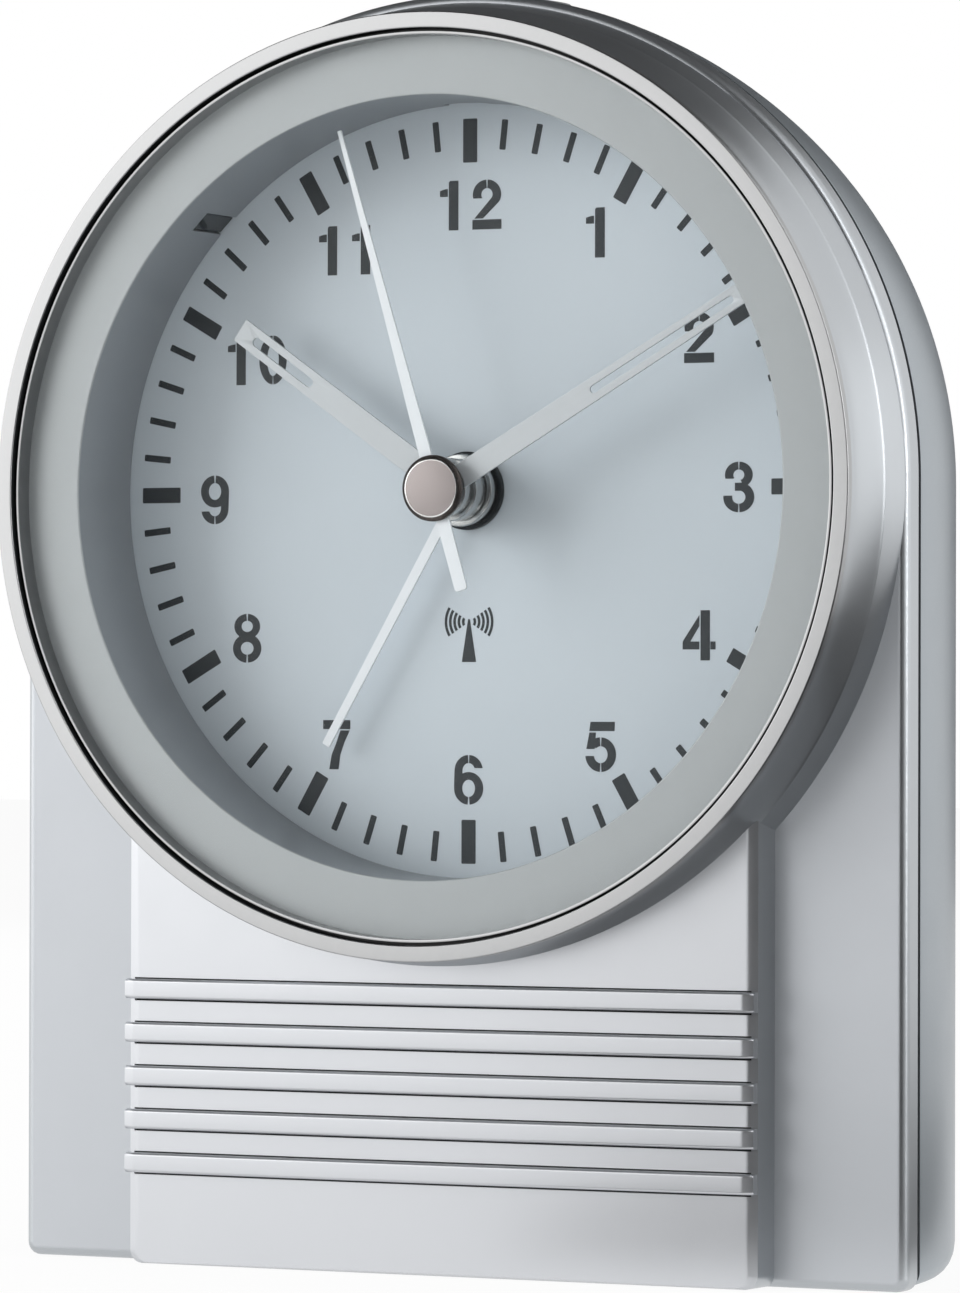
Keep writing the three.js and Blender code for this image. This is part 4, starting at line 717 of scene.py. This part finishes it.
def hand(name, points, depth, angle, collar, collar_end, bore, finishes, body, slot=None):
    """A blade on its collar, turned to the time shown."""
    flat = softened(blade(points, depth, slot), 0.04, 2, angle=60)
    ring = turned([(bore, depth, 0.05, 2), (collar, depth, 0.12, 3), (collar, collar_end, 0.12, 3),
                   (bore, collar_end)], 96)
    for face in ring.faces:
        face.material_index = 1
    hole = turned([(0, depth - 1), (bore, depth - 1), (bore, collar_end + 1), (0, collar_end + 1)], 96)
    whole = moved(gathered(cut(flat, hole), ring), turn=angle)
    fitted(name + "_blade", whole, finishes, body, [name], lift=dial_z)


hand("alarm_hand", [(-0.55, -1.5, 0.1, 2), (0.55, -1.5, 0.1, 2), (0.43, 28.2, 0.06, 2),
                    (-0.43, 28.2, 0.06, 2)],
     depth=10.6, angle=210.3, collar=3.45, collar_end=11.6, bore=2.2, finishes=[white, collar_metal],
     body="alarm_set")
hand("hour_hand", [(-1.25, -1.5, 0.1, 2), (1.25, -1.5, 0.1, 2), (1.2, 27.4, 0.15, 3), (-1.2, 27.4, 0.15, 3)],
     depth=8.3, angle=305, collar=3.0, collar_end=10.3, bore=1.67, finishes=[matt_grey, collar_metal],
     body="hour_set", slot=(0.45, 17.8, 25.6))
hand("minute_hand", [(-1.2, -1.5, 0.1, 2), (1.2, -1.5, 0.1, 2), (1.0, 36.1, 0.15, 3), (-1.0, 36.1, 0.15, 3)],
     depth=6.7, angle=60.2, collar=2.65, collar_end=8.0, bore=1.1, finishes=[matt_grey, collar_metal],
     body="minute_set", slot=(0.375, 18, 34.8))
hand("second_hand", [(-0.65, -10.1, 0.3, 4), (0.65, -10.1, 0.3, 4), (0.7, 0), (0.22, 35.7, 0.05, 2),
                     (-0.22, 35.7, 0.05, 2), (-0.7, 0)],
     depth=5.3, angle=343.4, collar=2.45, collar_end=6.4, bore=0.6, finishes=[white, collar_metal],
     body="second_set")

# Hub. A turned metal cap with a bright edge covers the hand stack, and a dark plated nut on the dial's
# front holds the movement behind it.
cap_face = Finish("turned_cap")
spread = cap_face.noise(260, 2.0)
cap_metal = cap_face.coated(
    Base_Color=cap_face.mixed(spread, (0.33, 0.292, 0.286), (0.374, 0.33, 0.325)), Metallic=0.75,
    Roughness=(spread - 0.5) * 0.1 + 0.4, Normal=cap_face.bump(cap_face.noise(3000), 0.000005, 0.3))
cap_rim = moulded("cap_rim", (0.1, 0.085, 0.08), 0.3, 2600, 0.000005, 0.9)
cap_edge = moulded("cap_edge", (0.85, 0.84, 0.83), 0.15, 2600, 0.000004, 1.0, 0.05)
cap = turned([(0, 4.55), (2.68, 4.55, 0.03, 1), (2.8, 4.62, 0.03, 1), (3.15, 4.85, 0.08, 2),
              (3.15, 5.2, 0.05, 2), (0, 5.2)], 128)
for face in cap.faces:
    middle = face.calc_center_median()
    radius = sqrt(middle.x ** 2 + middle.z ** 2)
    face.material_index = 0 if radius < 2.66 else 1 if radius < 2.79 and middle.y < 4.7 else 2
fitted("hub_cap", cap, [cap_metal, cap_edge, cap_rim], "second_set", ["hand_cap"], lift=dial_z)
dark_metal = moulded("dark_plating", (0.02, 0.024, 0.027), 0.32, 2600, 0.00001, 0.8)
nut = turned([(3.1, 12, 0.08, 2), (3.75, 12, 0.18, 3), (3.75, 12.8), (3.1, 12.8)], 96)
fitted("centre_nut", nut, [dark_metal], "case", ["dial_nut"], lift=dial_z)

# Snooze and light key. An oval moulded pad in silver paint in the top of the case, with a skirt that keeps
# it in and a stem over its switch.
button_paint = satin_paint("button_paint", (0.52, 0.54, 0.555), 0.6, 0.3, 0.04)
roof = half_width - drawn_in(snooze_depth)
snooze_top = roof + 1
crown = turned([(0, 10), (snooze_top, 10), (snooze_top, 28), (0, 28)], 720)
pad = post(0, snooze_depth, snooze_deep, 116.6, 124, 128, snooze_wide / snooze_deep)
pad = worked("INTERSECT", pad, moved(crown, z=arch_z))
pad = softened(pad, 0.5, 4, lambda edge: all(v.co.z > 117 for v in edge.verts), 50)
flange_top = arch_z - 0.3 + sqrt((roof - wall) ** 2 - 9.0 ** 2)
skirt = softened(post(0, snooze_depth, 3.3, flange_top - 1.2, flange_top, 96, 8.9 / 3.3), 0.15, 2)
stalk = post(0, snooze_depth, 2, flange_top - 2.7, flange_top - 0.5, 48)
fitted("snooze_pad", joined(pad, skirt, stalk), [button_paint], "snooze", ["snooze_button"])

# Setting knob. Black moulded plastic with sixteen flutes and a groove across it, on the long shaft
# whose pinion turns the alarm wheel.
head = softened(rod(0, 0, 7, 39.7, 42.7, 128), 0.35, 4)
flute_count = 16
flute_ring = 7.62
flute_angles = [2 * pi * i / flute_count for i in range(flute_count)]
flutes = [rod(flute_ring * cos(angle), flute_ring * sin(angle), 1.15, 38, 44, 24) for angle in flute_angles]
head = cut(head, gathered(*flutes), block(-8, 8, 42.2, 44, -0.8, 0.8))
shaft = softened(rod(0, 0, 1.5, 17.1, 40.5, 32), 0.1, 1)
pinion_root, pinion_tip = 1.95, 2.9
pinion = bmesh.new()
bmesh.ops.create_circle(pinion, cap_ends=True, radius=pinion_root, segments=40)
tips = [v for i, v in enumerate(pinion.verts) if i % 4 in (0, 1)]
bmesh.ops.scale(pinion, vec=(pinion_tip / pinion_root, pinion_tip / pinion_root, 1), verts=tips)
grown = bmesh.ops.extrude_face_region(pinion, geom=pinion.faces[:])
grown = [v for v in grown["geom"] if isinstance(v, bmesh.types.BMVert)]
bmesh.ops.translate(pinion, vec=(0, 0, -1), verts=grown)
bmesh.ops.recalc_face_normals(pinion, faces=pinion.faces)
pinion = moved(pinion, depth=16.6, turn=90, axis="X")
knob = moved(gathered(joined(head, shaft), pinion), x=knob_x)
fitted("setting_knob", knob, [black], "alarm_knob", ["alarm_set_knob"], lift=dial_z)

# Rear keys. Three round moulded keys in silver paint in holes of the control bay, each with a skirt that
# keeps it in and a peg over its switch.
for name, x in key_places:
    key = turned([(0, 36.0), (1.2, 36.0, 0.1, 2), (1.2, 36.5), (3.2, 36.5, 0.1, 2),
                  (3.2, 37.1, 0.1, 2), (2.3, 37.1), (2.3, 42.1, 0.45, 5), (0, 41.9)], 64)
    fitted(name + "_key", moved(key, x=x), [button_paint], name + "_key", [name + "_button"],
           lift=key_z)

# Alarm slide. A black moulded thumb piece with three grooves that runs in a slot of the control bay. A
# wider keeper behind the slot holds it in.
thumb_x = 9
thumb_half, keeper_half = 1.5, 2.5
thumb = block(thumb_x - 2, thumb_x + 2, 37.1, 41.8, slide_z - thumb_half, slide_z + thumb_half)
grooves = [block(left, left + 0.4, 41.4, 43, slide_z - keeper_half, slide_z + keeper_half)
           for left in (thumb_x - 0.9 + 0.8 * i for i in range(3))]
thumb = cut(softened(thumb, 0.3, 3), *grooves)
keeper = block(thumb_x - 3, thumb_x + 3, 35.5, 37.2, slide_z - keeper_half, slide_z + keeper_half)
keeper = softened(keeper, 0.1, 1)
fitted("slide_thumb", joined(thumb, keeper), [black], "alarm_slide", ["alarm_switch"])

# Battery door. A silver cover that swings on its rounded lower edge, with a finger dip and three grip
# grooves at the top.
hinge_radius = 0.9
leaf = block(-door["half"], door["half"], door["front"], case_depth,
             door["bottom"] + hinge_radius, door["top"])
leaf = softened(leaf, 0.8, 4, lambda edge: sum(v.co.z > 40 for v in edge.verts) == 2 and front_to_back(edge))
hinge = moved(rod(0, 0, hinge_radius, -door["half"], door["half"], 32), turn=90, axis="Z")
hinge = moved(hinge, 0, door["front"] + hinge_radius, door["bottom"] + hinge_radius)
dip = post(0, case_depth + 5.5, 6, door["top"] - 5, door["top"] + 1, 96)
grips = [block(-6, 6, case_depth - 0.3, case_depth + 1, z, z + 0.5) for z in (33.2, 34.4, 35.6)]
door_leaf = cut(joined(leaf, hinge), dip, *grips)
door_leaf = softened(door_leaf, 0.12, 2, lambda edge: all(v.co.z > 13 for v in edge.verts))
for corner in door_leaf.verts:
    corner.co.y = min(corner.co.y, case_depth)
fitted("door_leaf", door_leaf, [rear_silver], "door", ["battery_door"])

# Battery cells. Two size AA cells, steel cans in a printed plastic sleeve of blue and copper colour. They
# lie in the battery bay, opposite ways round.
steel = moulded("bright_steel", (0.6, 0.61, 0.6), 0.25, 2200, 0.00001, 0.95, 0.06)
coat = moulded("sleeve_blue", (0.02, 0.09, 0.24), 0.3, 1800, 0.000004, 0.3)
band = moulded("sleeve_copper", (0.55, 0.3, 0.13), 0.28, 1800, 0.000004, 0.8)
cell_depth = 33.8
cell_half, cell_radius = 25.1, 7.1
cells = [("lower", 19.0, 1), ("upper", 34.2, -1)]
for name, z, side in cells:
    cell = turned([(0, -cell_half), (6.7, -cell_half, 0.15, 2), (cell_radius, -24.7, 0.2, 3),
                   (cell_radius, 23.7, 0.4, 4), (6.3, 24.1, 0.15, 2), (2.75, 24.1),
                   (2.75, cell_half, 0.3, 3), (0, cell_half)], 96)
    for face in cell.faces:
        middle = face.calc_center_median()
        radius = sqrt(middle.x ** 2 + middle.z ** 2)
        face.material_index = 1 if radius < 6.2 else 2 if middle.y > 12 else 0
    cell = moved(moved(cell, turn=-90 * side, axis="Z"), side * 2.6, cell_depth, z)
    fitted("cell_" + name, cell, [coat, steel, band], "case", ["battery_" + name])

# Contact springs. Three turns of plated steel wire at the flat end of each cell. They stand against the
# side wall of the battery bay and press the cell against the contact at its far end.
turns, turn_steps, pitch = 3, 28, 1.45
for name, z, side in cells:
    coil = bmesh.new()
    bmesh.ops.create_circle(coil, radius=0.3, segments=10)
    bmesh.ops.translate(coil, vec=(3.4, 0, 0), verts=coil.verts)
    moved(coil, turn=90, axis="X")
    bmesh.ops.spin(coil, geom=coil.edges[:], cent=(0, 0, 0), axis=(0, 0, 1), dvec=(0, 0, pitch / turn_steps),
                   angle=2 * pi * turns, steps=turn_steps * turns)
    bmesh.ops.holes_fill(coil, edges=coil.edges[:], sides=12)
    bmesh.ops.recalc_face_normals(coil, faces=coil.faces)
    coil = moved(moved(coil, turn=90 * side), -side * 27.3, cell_depth, z)
    fitted("spring_" + name, coil, [steel], "case", ["contact_spring_" + name], sharp=60)

# Contacts and screws. Stamped blades of plated steel in the battery bay, and the four cross-head screws that
# hold the two case halves together. The stators of the movement have the same finish.
dressed(steel, "contact_plate_lower", "contact_plate_upper", "contact_bridge", "minute_stator",
        "second_stator", *[f"case_screw_{i}" for i in range(1, 5)])

# Feet. Four discs of dark moulded rubber, pressed into pockets under the rear case. The clock stands on
# them.
rubber = moulded("foot_rubber", (0.02, 0.02, 0.021), 0.8, 1600, 0.00003)
foot_nodes = {1: 1, 2: 3, 3: 2, 4: 4}
for number, node in foot_nodes.items():
    foot = turned([(0, 0), (4, 0, 0.35, 4), (4, 1.2), (0, 1.2)], 64)
    foot = moved(moved(foot, turn=90, axis="X"), *feet[node - 1])
    fitted(f"foot_{number}", foot, [rubber], "case", [f"rubber_foot_{node}"])

# Movement. Plates and wheels moulded in white acetal, brass arbors, magnet rotors in steel stators and coils
# of copper wire. The nut on the dial's front holds it to the dial carrier.
dressed(moulded("acetal", (0.78, 0.78, 0.74), 0.4, 1500, 0.00001), "movement_front_plate",
        "movement_middle_plate", "movement_rear_cup", "alarm_wheel", "hour_wheel", "intermediate_wheel")
brass = moulded("brass", (0.62, 0.44, 0.16), 0.25, 2400, 0.000006, 0.95, 0.06)
dressed(brass, "minute_wheel", "second_wheel")
dressed(dark_metal, "minute_rotor", "second_rotor")
copper = Finish("copper_winding")
layers = copper.node("ShaderNodeTexWave", {"bands_direction": "X"}, {
    "Vector": copper.place(), "Scale": 900.0, "Distortion": 0.3})
wire = copper.coated(Base_Color=copper.mixed(layers, (0.36, 0.11, 0.04), (0.62, 0.24, 0.09)), Metallic=0.8,
                     Roughness=copper.noise(800) * 0.1 + 0.25, Normal=copper.bump(layers, 0.00008, 0.7))
dressed(wire, "minute_coil", "second_coil", "antenna_coil")

# Electronics. Green boards that carry the switches, a ferrite rod for the antenna coil, and a buzzer, a
# switch and the dial carrier in black plastic. They rest on supports in the case.
dressed(moulded("solder_mask", (0.012, 0.13, 0.045), 0.35, 700, 0.00001), "circuit_board", "snooze_board")
dressed(moulded("ferrite", (0.035, 0.035, 0.04), 0.6, 1800, 0.00002), "antenna_rod")
dressed(black, "buzzer", "snooze_switch", "dial_carrier")

# Studio. A white floor and surroundings. One large soft light stands at the left, weaker ones at the right
# and behind, and dark cards that only a reflection shows stand for the shaded sides of the room.
def shown_directly(finish):
    """1 for a ray from the camera, a reflection or the clear window, and 0 for light on the object."""
    camera_ray, glossy_ray, clear_ray = (
        finish.node("ShaderNodeLightPath", {}, {}, f"Is {kind} Ray")
        for kind in ("Camera", "Glossy", "Transmission"))
    return finish.node("ShaderNodeMath", {"operation": "MAXIMUM"}, {
        0: camera_ray, 1: glossy_ray.math("MAXIMUM", glossy_ray, clear_ray)})


def card_stock(name, color):
    stock = Finish(name)
    return stock.ended(stock.node("ShaderNodeBsdfDiffuse", {}, {"Color": color}))


def stage_card(name, width, height, place, target, material, seen=False):
    """A flat card at a place that faces a target. One that isn't seen shows in reflections only."""
    shape = bmesh.new()
    bmesh.ops.create_grid(shape, x_segments=1, y_segments=1, size=0.5)
    bmesh.ops.scale(shape, vec=(width, height, 1), verts=shape.verts)
    aim = (Vector(target) - Vector(place)).to_track_quat("Z", "Y").to_matrix().to_4x4()
    bmesh.ops.transform(shape, matrix=Matrix.Translation(place) @ aim, verts=shape.verts)
    mesh = bpy.data.meshes.new(name)
    shape.to_mesh(mesh)
    shape.free()
    mesh.materials.append(material)
    card = bpy.data.objects.new(name, mesh)
    bpy.context.scene.collection.objects.link(card)
    card.visible_camera = seen
    card.visible_shadow = seen
    card.visible_diffuse = seen


paper = Finish("floor_paper")
matte = paper.node("ShaderNodeBsdfDiffuse", {}, {"Color": (0.9, 0.9, 0.9)})
glow = paper.node("ShaderNodeEmission", {}, {"Color": (1.0, 1.0, 1.0), "Strength": 1.0})
floor_white = paper.node("ShaderNodeMixShader", {}, {0: shown_directly(paper) * 0.93, 1: matte, 2: glow})
stage_card("floor", 6, 6, (0, 0, 0), (0, 0, 1), paper.ended(floor_white), True)
dark = card_stock("dark_card", (0.03, 0.03, 0.032))
stage_card("dark_card_behind", 1.0, 1.3, (-0.352, 0.968, 0.55), (0, 0, 0.08), dark)
stage_card("dark_card_front", 0.95, 1.2, (0.399, -0.895, 0.5), (0, 0, 0.08), dark)
stage_card("dark_card_low", 1.2, 1.44, (0.655, -0.5, 0.001), (0.655, -0.5, 1), dark)
stage_card("dark_card_near", 0.08, 0.047, (0.04, -0.0565, 0.0005), (0.04, -0.0565, 1), dark)
stage_card("dark_card_above", 1.45, 2.0, (-0.27, 0.1, 1.0), (-0.27, 0.1, 0), dark)


def soft_light(name, width, height, place, target, power, color=(1, 1, 1), glossy=True):
    """A soft light at a place that faces a target, in watts. Without glossy no reflection shows it."""
    lamp = bpy.data.lights.new(name, "AREA")
    lamp.shape, lamp.size, lamp.size_y = "RECTANGLE", width, height
    lamp.energy, lamp.color = power, color
    holder = bpy.data.objects.new(name, lamp)
    bpy.context.scene.collection.objects.link(holder)
    aim = (Vector(target) - Vector(place)).to_track_quat("-Z", "Y").to_matrix().to_4x4()
    holder.matrix_world = Matrix.Translation(place) @ aim
    holder.visible_camera = False
    holder.visible_glossy = glossy


soft_light("key", 1.15, 0.6, (-0.732, -0.524, 0.22), (0, 0, 0.07), 2.75, (1.0, 0.985, 0.97))
soft_light("left", 0.5, 0.5, (-0.78, -0.55, 0.32), (0, 0, 0.07), 5.6, glossy=False)
soft_light("right", 0.9, 0.5, (0.88, 0.41, 0.2), (0, 0, 0.08), 0.6)
soft_light("fill", 0.6, 0.35, (0.85, -0.1, 0.25), (0, 0, 0.08), 0.8, glossy=False)
soft_light("glint", 0.06, 0.6, (0.94, -0.1, 0.25), (0, 0, 0.08), 1.6)
soft_light("edge", 0.25, 0.45, (0.638, -0.31, 0.634), (0, 0, 0.08), 0.9)
soft_light("rear_left", 0.6, 0.6, (-0.6, 0.6, 0.5), (0, 0, 0.06), 1.6, glossy=False)
soft_light("rear_right", 0.6, 0.6, (0.6, 0.6, 0.5), (0, 0, 0.06), 1.2, glossy=False)

world = bpy.data.worlds.new("surroundings")
bpy.context.scene.world = world
sky = Finish("surroundings", world)
unseen_level = 0.45
sky_level = shown_directly(sky) * (1 - unseen_level) + unseen_level
white_sky = sky.node("ShaderNodeBackground", {}, {"Color": (1.0, 1.0, 1.0), "Strength": sky_level})
sky.ended(white_sky, "ShaderNodeOutputWorld")

# Camera. It has a long lens and stands to the right of the clock, about level with the top of the column,
# as in the photograph.
view = Vector((-0.43847, 0.89867, 0.01115)).normalized()
aim_at = Vector((0.007462, -0.0215, dial_z / 1000 - 0.015028))
distance = 0.59824
camera_data = bpy.data.cameras.new("camera")
camera_data.sensor_width = 36
camera_data.lens = 178.67
camera_data.clip_start, camera_data.clip_end = 0.01, 20
camera = bpy.data.objects.new("camera", camera_data)
bpy.context.scene.collection.objects.link(camera)
roll = Matrix.Rotation(radians(0.137), 4, "Z")
camera.matrix_world = (Matrix.Translation(aim_at - distance * view)
                       @ view.to_track_quat("-Z", "Y").to_matrix().to_4x4() @ roll)
bpy.context.scene.camera = camera
bpy.context.scene.view_settings.view_transform = "Standard"
